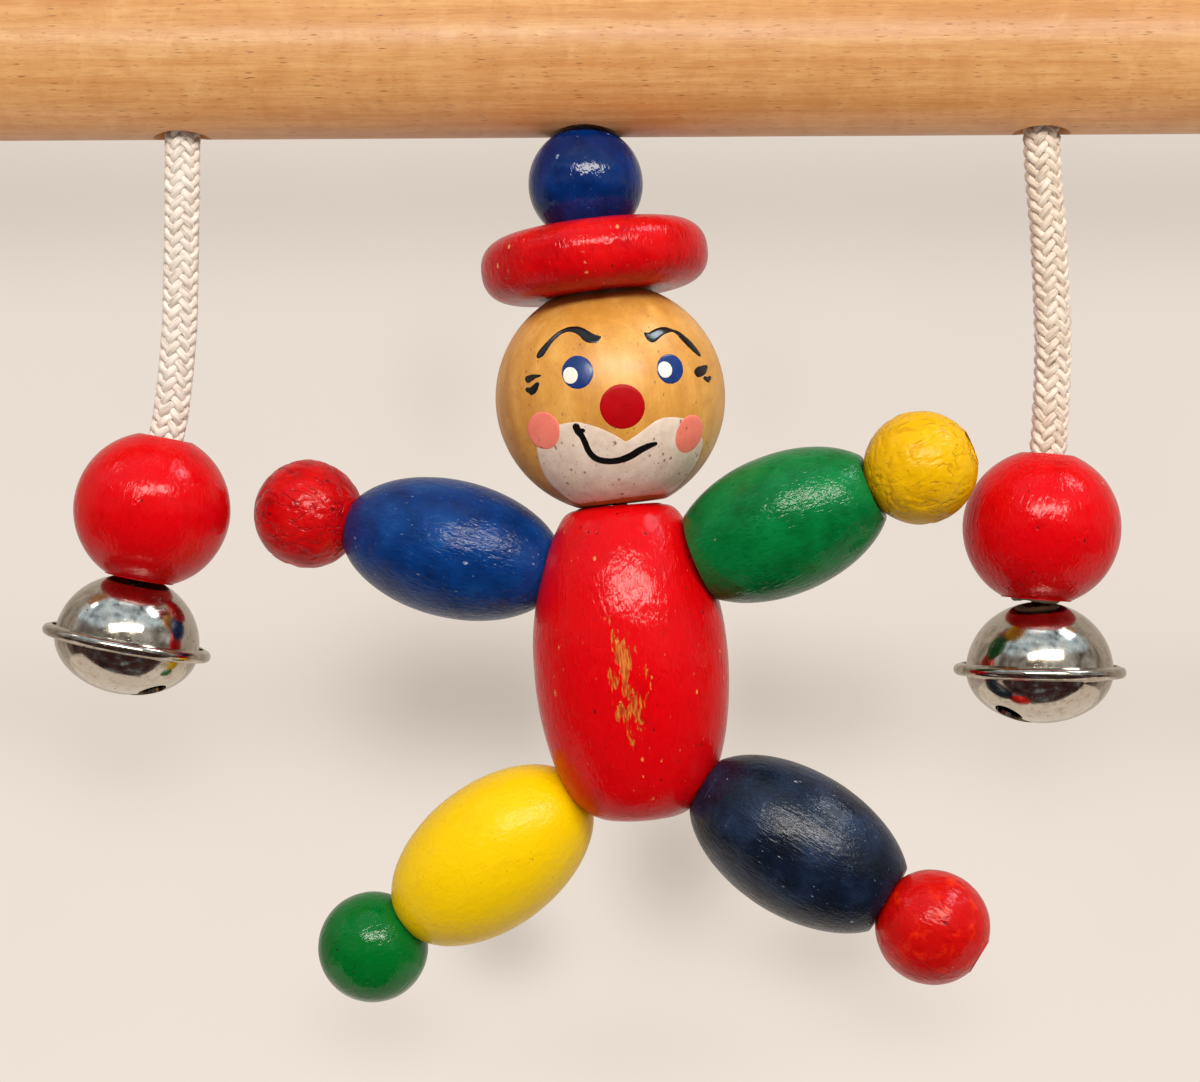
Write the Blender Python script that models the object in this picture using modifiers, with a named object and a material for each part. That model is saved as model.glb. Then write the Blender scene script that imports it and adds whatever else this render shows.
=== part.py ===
"""Pram toy bar: a beech dowel that carries a bead figure on elastic and two
bell pendants on braided cord.

Metres, +Z up.  The origin is on the bar's axis, above the figure; the bar runs
along X, and -Y is the side that faces the child.  "left" and "right" are as seen
from there: left is -X.
"""
import math

import bmesh
import bpy
from mathutils import Matrix, Vector

MM = 0.001

# ---------------------------------------------------------------- dimensions (mm)
BAR_R, BAR_L = 12.0, 250.0
BAR_END_ROUND = 1.6

ELASTIC_R = 1.0             # core and hanger elastic
LIMB_ELASTIC_R = 0.9        # shoulder, hip and limb elastic

# middle hole of the bar: through hole, seat for the crown bead, knot recess on top
HANGER_BORE_R = 2.0
SEAT_MOUTH_R, SEAT_MOUTH_Z, SEAT_TOP_Z = 4.95, -12.35, -9.4
HANGER_RECESS_R, HANGER_RECESS_Z = 4.3, 6.0

# cords: hole, recess for the stopper knot, pivot where the cord leaves the bar
CORD_R = 2.5
CORD_X = {"left": -54.85, "right": 61.28}
CORD_HOLE_R = 3.65
CORD_RECESS_R, CORD_RECESS_Z = 6.2, 3.0
CORD_PIVOT_Z = -12.3
ANCHOR_END_Z = -9.9

# figure: crown, brim and head share one axis that leans to the right going down
CROWN_Z, CROWN_R, CROWN_FLAT, CROWN_BORE_R = -18.42, 7.75, 7.40, 1.7
STACK_LEAN = math.radians(6.6)
BRIM_DIST, BRIM_R, BRIM_HALF = 10.56, 15.4, 4.65
HEAD_DIST, HEAD_R, HEAD_TOP, HEAD_BOTTOM, HEAD_BORE_R = 29.11, 15.5, 15.0, 14.35, 2.4

TORSO_C = Vector((6.14, 0.0, -83.10))
TORSO_LEAN, TORSO_TURN = math.radians(4.24), math.radians(12.0)
TORSO_A, TORSO_B, TORSO_HALF = 25.27, 12.87, 21.10      # ellipse half axes, half length
TORSO_ROUND_TOP, TORSO_ROUND_BOTTOM = 2.7, 7.0
CORE_BORE_R, CORE_BORE_END = 3.8, -15.0
KNOT_BORE_R, KNOT_RECESS_R, KNOT_RECESS_Z = 1.9, 3.2, -17.6
LIMB_BORE_R = 2.5
HIP_STEEPER = math.radians(7.0)

# limbs: side, station on the torso (down positive), distance from seat to end bead,
# ellipse half axes, widest place from the near end, rims, end bead radius
LIMBS = {
    "left_arm":  dict(side=-1, at=-13.12, reach=35.05, a=16.05, b=9.45, wide=13.6, end_r=7.58),
    "right_arm": dict(side=1, at=-13.49, reach=31.62, a=15.20, b=9.40, wide=11.5, end_r=7.50),
    "left_leg":  dict(side=-1, at=17.20, reach=36.20, a=16.15, b=9.95, wide=14.6, end_r=7.62),
    "right_leg": dict(side=1, at=17.35, reach=34.90, a=16.10, b=9.70, wide=14.3, end_r=7.52),
}
END_NAME = {"left_arm": "left_hand", "right_arm": "right_hand",
            "left_leg": "left_foot", "right_leg": "right_foot"}
LIMB_HOLE_R, LIMB_SINK_DEPTH = 2.0, 2.0
NEST = 6.75                 # end bead's centre from the limb's far rim
END_FLAT, END_BORE_R, END_RECESS_R, END_RECESS_DEPTH = 7.20, 1.6, 2.9, 3.0

# pendants: bead, bell
BEAD_R, BEAD_TOP, BEAD_BORE_R = 10.55, 9.95, 3.1
BEAD_RECESS_R, BEAD_RECESS_Z = 4.2, -4.2
BEAD_C = {"left": Vector((-59.0, 0, -62.39)), "right": Vector((61.3, 0, -64.92))}
BEAD_LEAN = {"left": math.radians(10.87), "right": math.radians(4.5)}
BELL_DIST = {"left": 18.45, "right": 19.20}             # bead centre to bell rim
BELL_LEAN = {"left": math.radians(10.87), "right": math.radians(0.87)}
BELL_R, BELL_UP, BELL_DOWN, BELL_WALL = 9.8, 9.3, 7.0, 0.6
FLANGE_R, LIP_R, FLANGE_IN, FLANGE_OUT = 11.0, 11.47, 0.15, 0.75
SLOT_W, SLOT_L, SLOT_END_R = 1.8, 12.0, 1.5
WIRE_R = 0.4
PELLET_R, PELLET_Z = 2.5, -3.55

GAP = 0.3

COLOURS = {                  # base colour (linear), roughness, metallic
    "beech": ((0.58, 0.33, 0.13), 0.38, 0.0),
    "head_wood": ((0.62, 0.37, 0.13), 0.32, 0.0),
    "red": ((0.68, 0.012, 0.010), 0.28, 0.0),
    "blue": ((0.006, 0.040, 0.20), 0.28, 0.0),
    "navy": ((0.012, 0.018, 0.040), 0.30, 0.0),
    "green": ((0.004, 0.15, 0.035), 0.28, 0.0),
    "yellow": ((0.88, 0.56, 0.008), 0.30, 0.0),
    "cord": ((0.74, 0.66, 0.54), 0.85, 0.0),
    "elastic": ((0.70, 0.68, 0.64), 0.70, 0.0),
    "nickel": ((0.60, 0.57, 0.52), 0.16, 1.0),
    "steel": ((0.45, 0.44, 0.43), 0.30, 1.0),
}

# ---------------------------------------------------------------- scene
for old in list(bpy.data.objects):
    bpy.data.objects.remove(old, do_unlink=True)

PARTS = bpy.data.collections.new("pram_toy_bar")
CUTTERS = bpy.data.collections.new("cutters")
bpy.context.scene.collection.children.link(PARTS)
bpy.context.scene.collection.children.link(CUTTERS)


def material(node, colour):
    rgb, rough, metal = COLOURS[colour]
    mat = bpy.data.materials.new(node + "_" + colour)
    mat.use_nodes = True
    bsdf = mat.node_tree.nodes["Principled BSDF"]
    bsdf.inputs["Base Color"].default_value = (*rgb, 1.0)
    bsdf.inputs["Roughness"].default_value = rough
    bsdf.inputs["Metallic"].default_value = metal
    mat.diffuse_color = (*rgb, 1.0)
    return mat


def add(obj, colour=None, cutter=False):
    (CUTTERS if cutter else PARTS).objects.link(obj)
    if cutter:
        obj.hide_render = True
        obj.display_type = "WIRE"
    else:
        obj.data.materials.append(material(obj.name, colour))
    return obj


def lean(angle, turn=0.0):
    """Rotation whose +Z leans to +X by angle, after a turn about Z."""
    return Matrix.Rotation(angle, 4, "Y") @ Matrix.Rotation(turn, 4, "Z")


def along(direction):
    """Rotation that takes +Z to a direction and keeps +Y as near world Y as it can."""
    z = Vector(direction).normalized()
    x = Vector((0, 1, 0)).cross(z).normalized()
    y = z.cross(x)
    return Matrix((x, y, z)).transposed().to_4x4()


def place(obj, at, rot):
    obj.matrix_world = Matrix.Translation(Vector(at) * MM) @ rot
    return obj


def lathe(name, loop, steps, colour=None, cutter=False):
    """Turned piece: a profile of (radius, height) in mm, outer side first and
    top to bottom, closed back up its bore."""
    mesh = bpy.data.meshes.new(name)
    n = len(loop)
    mesh.from_pydata([(r * MM, 0.0, z * MM) for r, z in loop],
                     [(i, (i + 1) % n) for i in range(n)], [])
    obj = bpy.data.objects.new(name, mesh)
    mod = obj.modifiers.new("turn", "SCREW")
    mod.axis = "Z"
    mod.steps = mod.render_steps = steps
    mod.use_merge_vertices = True
    mod.merge_threshold = 0.000001
    mod.use_smooth_shade = True
    return add(obj, colour, cutter)


def tube(name, pts, radius, colour, swell=None, sides=2):
    """Round cord along points in mm; swell scales the radius point by point."""
    curve = bpy.data.curves.new(name, "CURVE")
    curve.dimensions = "3D"
    curve.bevel_depth = radius * MM
    curve.bevel_resolution = sides
    curve.use_fill_caps = True
    curve.resolution_u = 1
    curve.render_resolution_u = 0
    spline = curve.splines.new("POLY")
    spline.points.add(len(pts) - 1)
    for i, p in enumerate(pts):
        spline.points[i].co = (*(Vector(p) * MM), 1.0)
        spline.points[i].radius = swell[i] if swell else 1.0
        spline.points[i].tilt = 0.0
    return add(bpy.data.objects.new(name, curve), colour)


def rod_cutter(name, a, b, radius, radius_b=None, sides=16):
    """Closed cylinder or cone between two points, for drilling."""
    a, b = Vector(a), Vector(b)
    bm = bmesh.new()
    bmesh.ops.create_cone(bm, cap_ends=True, segments=sides, radius1=radius * MM,
                          radius2=(radius if radius_b is None else radius_b) * MM,
                          depth=(b - a).length * MM)
    mesh = bpy.data.meshes.new(name)
    bm.to_mesh(mesh)
    bm.free()
    obj = add(bpy.data.objects.new(name, mesh), cutter=True)
    rot = (b - a).normalized().to_track_quat("Z", "Y").to_matrix().to_4x4()
    return place(obj, (a + b) * 0.5, rot)


def cut(obj, cutter):
    mod = obj.modifiers.new("cut_" + cutter.name, "BOOLEAN")
    mod.operation = "DIFFERENCE"
    mod.solver = "EXACT"
    mod.object = cutter


def arc(radius, z0, z1, n):
    """Points (r, z) on a sphere from height z0 to height z1."""
    t0, t1 = math.asin(z0 / radius), math.asin(z1 / radius)
    return [(radius * math.cos(t0 + (t1 - t0) * i / (n - 1)),
             radius * math.sin(t0 + (t1 - t0) * i / (n - 1))) for i in range(n)]


def smooth(keys, step):
    """Evenly spaced points on a Catmull-Rom curve through the key points."""
    keys = [Vector(k) for k in keys]
    ends = [keys[0] * 2 - keys[1]] + keys + [keys[-1] * 2 - keys[-2]]
    fine = []
    for i in range(1, len(ends) - 2):
        p0, p1, p2, p3 = ends[i - 1:i + 3]
        for k in range(24):
            t = k / 24.0
            fine.append(0.5 * ((2 * p1) + (p2 - p0) * t + (2 * p0 - 5 * p1 + 4 * p2 - p3) * t * t
                               + (3 * p1 - p0 - 3 * p2 + p3) * t ** 3))
    fine.append(keys[-1])
    run = [0.0]
    for a, b in zip(fine, fine[1:]):
        run.append(run[-1] + (b - a).length)
    count = max(2, round(run[-1] / step))
    out, j = [], 0
    for i in range(count + 1):
        s = run[-1] * i / count
        while j < len(run) - 2 and run[j + 1] < s:
            j += 1
        f = (s - run[j]) / (run[j + 1] - run[j])
        out.append(fine[j].lerp(fine[j + 1], f))
    return out


# ---------------------------------------------------------------- bar
bpy.ops.mesh.primitive_cylinder_add(vertices=32, radius=BAR_R * MM, depth=BAR_L * MM)
bar = bpy.context.active_object
bar.name = bar.data.name = "bar"
for coll in list(bar.users_collection):
    coll.objects.unlink(bar)
add(bar, "beech")
bar.data.shade_smooth()
bar.data.set_sharp_from_angle(angle=math.radians(35))
place(bar, (0, 0, 0), Matrix.Rotation(math.radians(90), 4, "Y"))
ends = bar.modifiers.new("round_ends", "BEVEL")
ends.width = BAR_END_ROUND * MM
ends.segments = 2
ends.limit_method = "ANGLE"
ends.angle_limit = math.radians(60)

cut(bar, rod_cutter("hanger_bore", (0, 0, -20), (0, 0, 20), HANGER_BORE_R, sides=12))
cut(bar, rod_cutter("crown_seat", (0, 0, SEAT_MOUTH_Z), (0, 0, SEAT_TOP_Z), SEAT_MOUTH_R,
                    SEAT_MOUTH_R - (SEAT_TOP_Z - SEAT_MOUTH_Z), sides=20))
cut(bar, rod_cutter("hanger_recess", (0, 0, HANGER_RECESS_Z), (0, 0, 20), HANGER_RECESS_R))
for hand, x in CORD_X.items():
    cut(bar, rod_cutter(hand + "_cord_hole", (x, 0, -20), (x, 0, 20), CORD_HOLE_R))
    cut(bar, rod_cutter(hand + "_knot_recess", (x, 0, CORD_RECESS_Z), (x, 0, 20), CORD_RECESS_R))

# knot and elastic that hold the figure
tube("hanger_knot", [(0, 0, z) for z in (6.5, 7.0, 7.8, 8.8, 9.6, 10.2)], ELASTIC_R, "elastic",
     swell=[1.6, 2.7, 3.3, 3.3, 2.6, 1.4])
tube("hanger_elastic", [(0, 0, 6.2), (0, 0, -2.0), (0, 0, -10.1)], ELASTIC_R, "elastic")

# cord ends in the bar, each with its stopper knot
for hand, x in CORD_X.items():
    heights = (ANCHOR_END_Z, -4.0, 1.5, 3.6, 4.6, 6.0, 7.5, 9.0, 10.2, 10.7)
    tube(hand + "_cord_anchor", [(x, 0, z) for z in heights], CORD_R, "cord",
         swell=[1.0, 1.0, 1.0, 1.28, 1.75, 2.05, 2.05, 1.75, 1.2, 0.8])

# ---------------------------------------------------------------- hat and head
CROWN_C = Vector((0, 0, CROWN_Z))
DOWN = Vector((math.sin(STACK_LEAN), 0, -math.cos(STACK_LEAN)))
STACK = lean(-STACK_LEAN)

crown = lathe("crown_bead", arc(CROWN_R, CROWN_FLAT, -CROWN_FLAT, 8)
              + [(CROWN_BORE_R, -CROWN_FLAT), (CROWN_BORE_R, CROWN_FLAT)], 16, "blue")
place(crown, CROWN_C, STACK)

edge = []
for i in range(9):
    t = math.radians(90 - 22.5 * i)
    c, s = max(0.0, math.cos(t)), math.sin(t)
    edge.append((9.6 + (BRIM_R - 9.6) * c ** (2 / 2.4),
                 math.copysign(BRIM_HALF * abs(s) ** (2 / 2.4), s)))
brim = lathe("hat_brim", edge + [(7.35, -BRIM_HALF), (6.0, -3.4), (5.0, -1.4),
                                 (5.0, 3.6), (5.55, BRIM_HALF)], 20, "red")
place(brim, CROWN_C + DOWN * BRIM_DIST, STACK)

head = lathe("head", arc(HEAD_R, HEAD_TOP, -HEAD_BOTTOM, 11)
             + [(HEAD_BORE_R, -HEAD_BOTTOM), (HEAD_BORE_R, HEAD_TOP)], 20, "head_wood")
HEAD_C = CROWN_C + DOWN * HEAD_DIST
place(head, HEAD_C, STACK)


# ---------------------------------------------------------------- torso
def rounding(rho):
    """Where the ellipse hands over to an end rounding that reaches the flat end."""
    lo, hi = 0.0, TORSO_HALF
    for _ in range(60):
        u = 0.5 * (lo + hi)
        r = TORSO_B * math.sqrt(1 - (u / TORSO_A) ** 2)
        b = math.atan((TORSO_B / TORSO_A) ** 2 * u / r)
        if u + rho * (1 - math.sin(b)) < TORSO_HALF:
            lo = u
        else:
            hi = u
    return u, r, b


def torso_surface(u):
    """Radius and slope angle of the torso at a station below its middle."""
    rho = TORSO_ROUND_BOTTOM if u > 0 else TORSO_ROUND_TOP
    u0, r0, b0 = rounding(rho)
    a = abs(u)
    if a <= u0:
        r = TORSO_B * math.sqrt(1 - (a / TORSO_A) ** 2)
        return r, math.atan((TORSO_B / TORSO_A) ** 2 * a / r)
    b = math.asin(min(1.0, (a - u0 + rho * math.sin(b0)) / rho))
    return r0 - rho * math.cos(b0) + rho * math.cos(b), b


def torso_profile():
    pts = []
    u0, r0, b0 = rounding(TORSO_ROUND_TOP)
    for i in range(3):
        b = math.radians(90) + (b0 - math.radians(90)) * i / 3
        pts.append((r0 + TORSO_ROUND_TOP * (math.cos(b) - math.cos(b0)),
                    u0 + TORSO_ROUND_TOP * (math.sin(b) - math.sin(b0))))
    u1, r1, b1 = rounding(TORSO_ROUND_BOTTOM)
    for i in range(8):
        u = -u0 + (u1 + u0) * i / 7
        pts.append((torso_surface(u)[0], -u))
    for i in range(1, 5):
        b = b1 + (math.radians(90) - b1) * i / 4
        pts.append((r1 + TORSO_ROUND_BOTTOM * (math.cos(b) - math.cos(b1)),
                    -u1 - TORSO_ROUND_BOTTOM * (math.sin(b) - math.sin(b1))))
    # the knot recess takes the middle of the bottom flat
    pts[-1] = (KNOT_RECESS_R + 0.05, -TORSO_HALF)
    return pts


TORSO = Matrix.Translation(TORSO_C) @ lean(-TORSO_LEAN, 0.0) @ Matrix.Rotation(-TORSO_TURN, 4, "Z")
torso = lathe("torso", torso_profile()
              + [(KNOT_RECESS_R, -TORSO_HALF), (KNOT_RECESS_R, KNOT_RECESS_Z),
                 (KNOT_BORE_R, KNOT_RECESS_Z), (KNOT_BORE_R, CORE_BORE_END),
                 (CORE_BORE_R, CORE_BORE_END), (CORE_BORE_R, TORSO_HALF)], 22, "red")
torso.matrix_world = Matrix.Translation(TORSO_C * MM) @ TORSO.to_3x3().to_4x4()


def seat(limb):
    """Seat point and outward axis of a limb, in the torso's own frame."""
    d = LIMBS[limb]
    r, b = torso_surface(d["at"])
    if d["at"] > 0:
        b += HIP_STEEPER
    point = Vector((d["side"] * r, 0, -d["at"]))
    axis = Vector((d["side"] * math.cos(b), 0, -math.copysign(math.sin(b), d["at"])))
    return point, axis


for limb in LIMBS:
    p, n = seat(limb)
    reach = abs(p.x) / abs(n.x)
    cut(torso, rod_cutter(limb + "_bore", TORSO @ (p - n * reach), TORSO @ (p + n * 4.0),
                          LIMB_BORE_R, sides=14))

# core elastic: straight through hat and head, then down the torso's own axis
axis_down = (TORSO.to_3x3() @ Vector((0, 0, -1)))
core = [CROWN_C + DOWN * t for t in (-7.2, 4.0, 16.0, 28.0, 40.0)]
core += [TORSO_C + axis_down * t for t in (-17.0, -8.0, 2.0, 12.0, 17.4)]
bulge = [1.0] * len(core)
for t, s in ((18.1, 1.5), (18.6, 2.2), (19.3, 2.55), (20.1, 2.3), (20.7, 1.4)):
    core.append(TORSO_C + axis_down * t)
    bulge.append(s)
tube("core_elastic", core, ELASTIC_R, "elastic", swell=bulge)


def across(left, right, name):
    """Elastic across the torso that passes behind the core elastic."""
    pl, nl = seat(left)
    pr, nr = seat(right)
    a, b = pl - nl * 0.4, pr - nr * 0.4
    zl, zr = pl.z - nl.z / nl.x * pl.x, pr.z - nr.z / nr.x * pr.x
    mid = 0.5 * (zl + zr)
    pts = []
    for i in range(17):
        x = a.x + (b.x - a.x) * i / 16
        end, zc = (a, zl) if x < 0 else (b, zr)
        f = abs(x / end.x)
        z = (mid if f < 0.05 else zc + (end.z - zc) * f)
        pts.append(TORSO @ Vector((x, 2.35 * math.exp(-(x / 3.9) ** 2), z)))
    tube(name, pts, LIMB_ELASTIC_R, "elastic")


across("left_arm", "right_arm", "shoulder_elastic")
across("left_leg", "right_leg", "hip_elastic")


# ---------------------------------------------------------------- limbs
def limb_bead(name, d, length, colour):
    """Egg-shaped bead along +Z from its near rim (z = 0), countersunk at both ends."""
    def radius(z):
        return d["b"] * math.sqrt(max(0.02, 1 - ((z - d["wide"]) / d["a"]) ** 2))
    n = 9
    outer = []
    for i in range(n):
        t = 0.5 - 0.5 * math.cos(math.pi * (i / (n - 1)) * 0.92 + math.pi * 0.04)
        t0, t1 = 0.5 - 0.5 * math.cos(math.pi * 0.04), 0.5 - 0.5 * math.cos(math.pi * 0.96)
        z = length * (1 - (t - t0) / (t1 - t0))
        outer.append((radius(z), z))
    near, far = radius(0.0), radius(length)
    sink_near, sink_far = min(near - 0.45, 4.3), min(far - 0.35, 4.0)
    bore = [(sink_near, 0.0), (LIMB_HOLE_R, LIMB_SINK_DEPTH),
            (LIMB_HOLE_R, length - LIMB_SINK_DEPTH), (sink_far, length)]
    return lathe(name, outer + bore, 18, colour)


LIMB_COLOUR = {"left_arm": "blue", "right_arm": "green", "left_leg": "yellow", "right_leg": "navy"}
END_COLOUR = {"left_arm": "red", "right_arm": "yellow", "left_leg": "green", "right_leg": "red"}

for limb, d in LIMBS.items():
    p, n = seat(limb)
    p, n = TORSO @ p, (TORSO.to_3x3() @ n).normalized()
    rot = along(n)
    start = 0.05 if d["at"] < 0 else -0.10      # rim plane along the axis from the seat point
    length = d["reach"] - NEST - start
    bead = limb_bead(limb, d, length, LIMB_COLOUR[limb])
    place(bead, p + n * start, rot)

    r = d["end_r"]
    flat = END_FLAT
    hand = lathe(END_NAME[limb], arc(r, flat, -flat, 8)
                 + [(END_BORE_R, -flat), (END_BORE_R, flat - END_RECESS_DEPTH),
                    (END_RECESS_R - 0.6, flat - END_RECESS_DEPTH + 0.4), (END_RECESS_R - 0.6, flat)],
                 16, END_COLOUR[limb])
    centre = p + n * d["reach"]
    place(hand, centre, rot)

    stations = [0.25, length * 0.5, length, d["reach"] + flat - END_RECESS_DEPTH + 0.1]
    pts = [p + n * (start + stations[0]), p + n * (start + stations[1]), p + n * (start + stations[2]),
           p + n * stations[3]]
    swell = [1.0] * 4
    for t, s in ((0.75, 1.3), (1.2, 1.85), (1.9, 1.95), (2.5, 1.5), (2.8, 0.9)):
        pts.append(p + n * (d["reach"] + flat - END_RECESS_DEPTH + t))
        swell.append(s)
    tube(limb + "_elastic", pts, LIMB_ELASTIC_R, "elastic", swell=swell)

# ---------------------------------------------------------------- pendants
CORD_KEYS = {                # (x, z) down to the bend above the bead
    "left": [(-54.85, -12.1), (-54.88, -18.0), (-54.95, -24.1), (-55.12, -32.0), (-55.32, -38.5)],
    "right": [(61.28, -12.1), (61.62, -18.9), (62.15, -24.7), (62.58, -33.4), (62.80, -41.5)],
}


def ellipse_loop(a, h, z_rim, r_hole, n, down):
    """Quarter ellipse from its pole hole to the rim, pole first."""
    t_hole = math.acos(r_hole / a)
    t_rim = math.asin(min(1.0, z_rim / h))
    pts = [(a * math.cos(t_hole + (t_rim - t_hole) * i / (n - 1)),
            h * math.sin(t_hole + (t_rim - t_hole) * i / (n - 1))) for i in range(n)]
    return [(r, -z) for r, z in pts] if down else pts


for hand in ("left", "right"):
    c, up = BEAD_C[hand], Vector((math.sin(BEAD_LEAN[hand]), 0, math.cos(BEAD_LEAN[hand])))
    keys = [Vector((x, 0, z)) for x, z in CORD_KEYS[hand]]
    keys += [c + up * t for t in (14.5, 9.5, 3.5, -2.4)]
    tube(hand + "_cord", smooth(keys, 3.6), CORD_R, "cord")

    rim_z = -math.sqrt(BEAD_R ** 2 - BEAD_RECESS_R ** 2)
    bead = lathe(hand + "_pendant_bead", arc(BEAD_R, BEAD_TOP, rim_z, 9)
                 + [(BEAD_RECESS_R, BEAD_RECESS_Z), (BEAD_BORE_R, BEAD_RECESS_Z),
                    (BEAD_BORE_R, BEAD_TOP)], 20, "red")
    place(bead, c, lean(BEAD_LEAN[hand]))

    # the bell hangs on its own axis, its frame has the rim plane at z = 0
    b_up = Vector((math.sin(BELL_LEAN[hand]), 0, math.cos(BELL_LEAN[hand])))
    rim_c = c - b_up * BELL_DIST[hand]
    turn = math.radians(-35 if hand == "left" else 28)
    frame = lean(BELL_LEAN[hand], turn)
    world = Matrix.Translation(rim_c) @ frame
    inner = BELL_R - BELL_WALL

    upper = ellipse_loop(BELL_R, BELL_UP, FLANGE_OUT, 0.6, 6, False)
    upper += [(FLANGE_R, FLANGE_OUT), (FLANGE_R, FLANGE_IN)]
    upper += ellipse_loop(inner, BELL_UP - BELL_WALL, FLANGE_IN, 0.6, 6, False)[::-1]
    place(lathe(hand + "_bell_upper_shell", upper, 20, "nickel"), rim_c, frame)

    lower = [(LIP_R, -FLANGE_IN), (LIP_R, -FLANGE_OUT)]
    lower += ellipse_loop(BELL_R, BELL_DOWN, FLANGE_OUT, 0.5, 5, True)[::-1]
    lower += ellipse_loop(inner, BELL_DOWN - BELL_WALL, FLANGE_IN, 0.5, 5, True)
    shell = place(lathe(hand + "_bell_lower_shell", lower, 20, "nickel"), rim_c, frame)
    bm = bmesh.new()
    bmesh.ops.create_cube(bm, size=1.0)
    bmesh.ops.scale(bm, vec=(SLOT_L * MM, SLOT_W * MM, 6.0 * MM), verts=bm.verts)
    slot_mesh = bpy.data.meshes.new(hand + "_slot")
    bm.to_mesh(slot_mesh)
    bm.free()
    slot = add(bpy.data.objects.new(hand + "_slot", slot_mesh), cutter=True)
    place(slot, world @ Vector((0, 0, -BELL_DOWN)), frame)
    cut(shell, slot)
    for i, sx in enumerate((-1, 1)):
        x = sx * SLOT_L / 2
        cut(shell, rod_cutter("%s_slot_end_%d" % (hand, i), world @ Vector((x, 0, -BELL_DOWN - 3)),
                              world @ Vector((x, 0, -2.5)), SLOT_END_R, sides=14))

    # wire loop on the bell, and the ring that ties it to the cord's end
    ring_z = BELL_DIST[hand] - 4.95
    arch_z = ring_z - 0.65
    foot_z = BELL_UP + 0.18
    loop = [Vector((0, -1.5, foot_z)), Vector((0, -1.5, arch_z - 1.5))]
    loop += [Vector((0, -1.5 * math.cos(t), arch_z - 1.5 + 1.5 * math.sin(t)))
             for t in [math.pi * i / 6 for i in range(1, 6)]]
    loop += [Vector((0, 1.5, arch_z - 1.5)), Vector((0, 1.5, foot_z))]
    straight = Matrix.Translation(rim_c) @ lean(BELL_LEAN[hand])
    tube(hand + "_bell_loop", [straight @ v for v in loop], WIRE_R, "steel")

    bpy.ops.mesh.primitive_torus_add(major_radius=1.75 * MM, minor_radius=WIRE_R * MM,
                                     major_segments=14, minor_segments=6)
    ring = bpy.context.active_object
    ring.name = ring.data.name = hand + "_bell_link"
    for coll in list(ring.users_collection):
        coll.objects.unlink(ring)
    add(ring, "steel")
    ring.data.shade_smooth()
    place(ring, straight @ Vector((0, 0, ring_z)),
          lean(BELL_LEAN[hand]) @ Matrix.Rotation(math.radians(90), 4, "X"))

    bm = bmesh.new()
    bmesh.ops.create_uvsphere(bm, u_segments=10, v_segments=7, radius=PELLET_R * MM)
    ball = bpy.data.meshes.new(hand + "_bell_pellet")
    bm.to_mesh(ball)
    bm.free()
    ball.shade_smooth()
    place(add(bpy.data.objects.new(hand + "_bell_pellet", ball), "steel"),
          world @ Vector((0, 0, PELLET_Z)), frame)
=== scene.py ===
"""Looks of a wooden pram toy: a turned bar with a bead figure on elastic and two
bells on braided cords. Lengths in the helpers are millimetres; objects are metres."""

import math

import bmesh
import bpy
import numpy as np
from mathutils import Matrix, Vector


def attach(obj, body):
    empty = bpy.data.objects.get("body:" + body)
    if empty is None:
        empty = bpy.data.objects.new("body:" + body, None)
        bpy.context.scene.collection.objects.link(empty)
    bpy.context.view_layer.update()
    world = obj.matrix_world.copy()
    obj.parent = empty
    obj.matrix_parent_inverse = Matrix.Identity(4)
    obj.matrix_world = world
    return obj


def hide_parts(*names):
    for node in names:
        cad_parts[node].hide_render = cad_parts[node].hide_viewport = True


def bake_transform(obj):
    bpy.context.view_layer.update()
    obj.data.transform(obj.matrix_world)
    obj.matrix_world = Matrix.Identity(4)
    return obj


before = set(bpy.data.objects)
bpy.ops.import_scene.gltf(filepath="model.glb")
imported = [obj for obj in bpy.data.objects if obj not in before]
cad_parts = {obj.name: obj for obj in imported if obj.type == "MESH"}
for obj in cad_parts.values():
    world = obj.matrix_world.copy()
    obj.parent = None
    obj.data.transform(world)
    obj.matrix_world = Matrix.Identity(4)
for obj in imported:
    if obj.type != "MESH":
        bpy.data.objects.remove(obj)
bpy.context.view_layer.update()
MM = 0.001
TAU = 2 * math.pi

# ------------------------------------------------------------------ camera
cam_data = bpy.data.cameras.new("camera")
cam_data.sensor_width = 36.0
cam_data.lens = 79.92
cam_data.clip_start, cam_data.clip_end = 0.01, 30.0
camera = bpy.data.objects.new("camera", cam_data)
camera.location = (0.015767, -0.359735, -0.066664)
camera.rotation_euler = (math.radians(90), 0.0, math.radians(2.2))
bpy.context.scene.collection.objects.link(camera)
bpy.context.scene.camera = camera


# ------------------------------------------------------------------ numbers
def rgb(r, g, b):
    """Display colour 0-255 to scene linear, with alpha."""
    out = []
    for c in (r, g, b):
        c /= 255.0
        out.append(c / 12.92 if c <= 0.04045 else ((c + 0.055) / 1.055) ** 2.4)
    return (*out, 1.0)


_rng = np.random.default_rng(11)
_GRAD = _rng.normal(size=(64, 3))
_GRAD /= np.linalg.norm(_GRAD, axis=1)[:, None]
_PERM = _rng.permutation(256)


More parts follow.
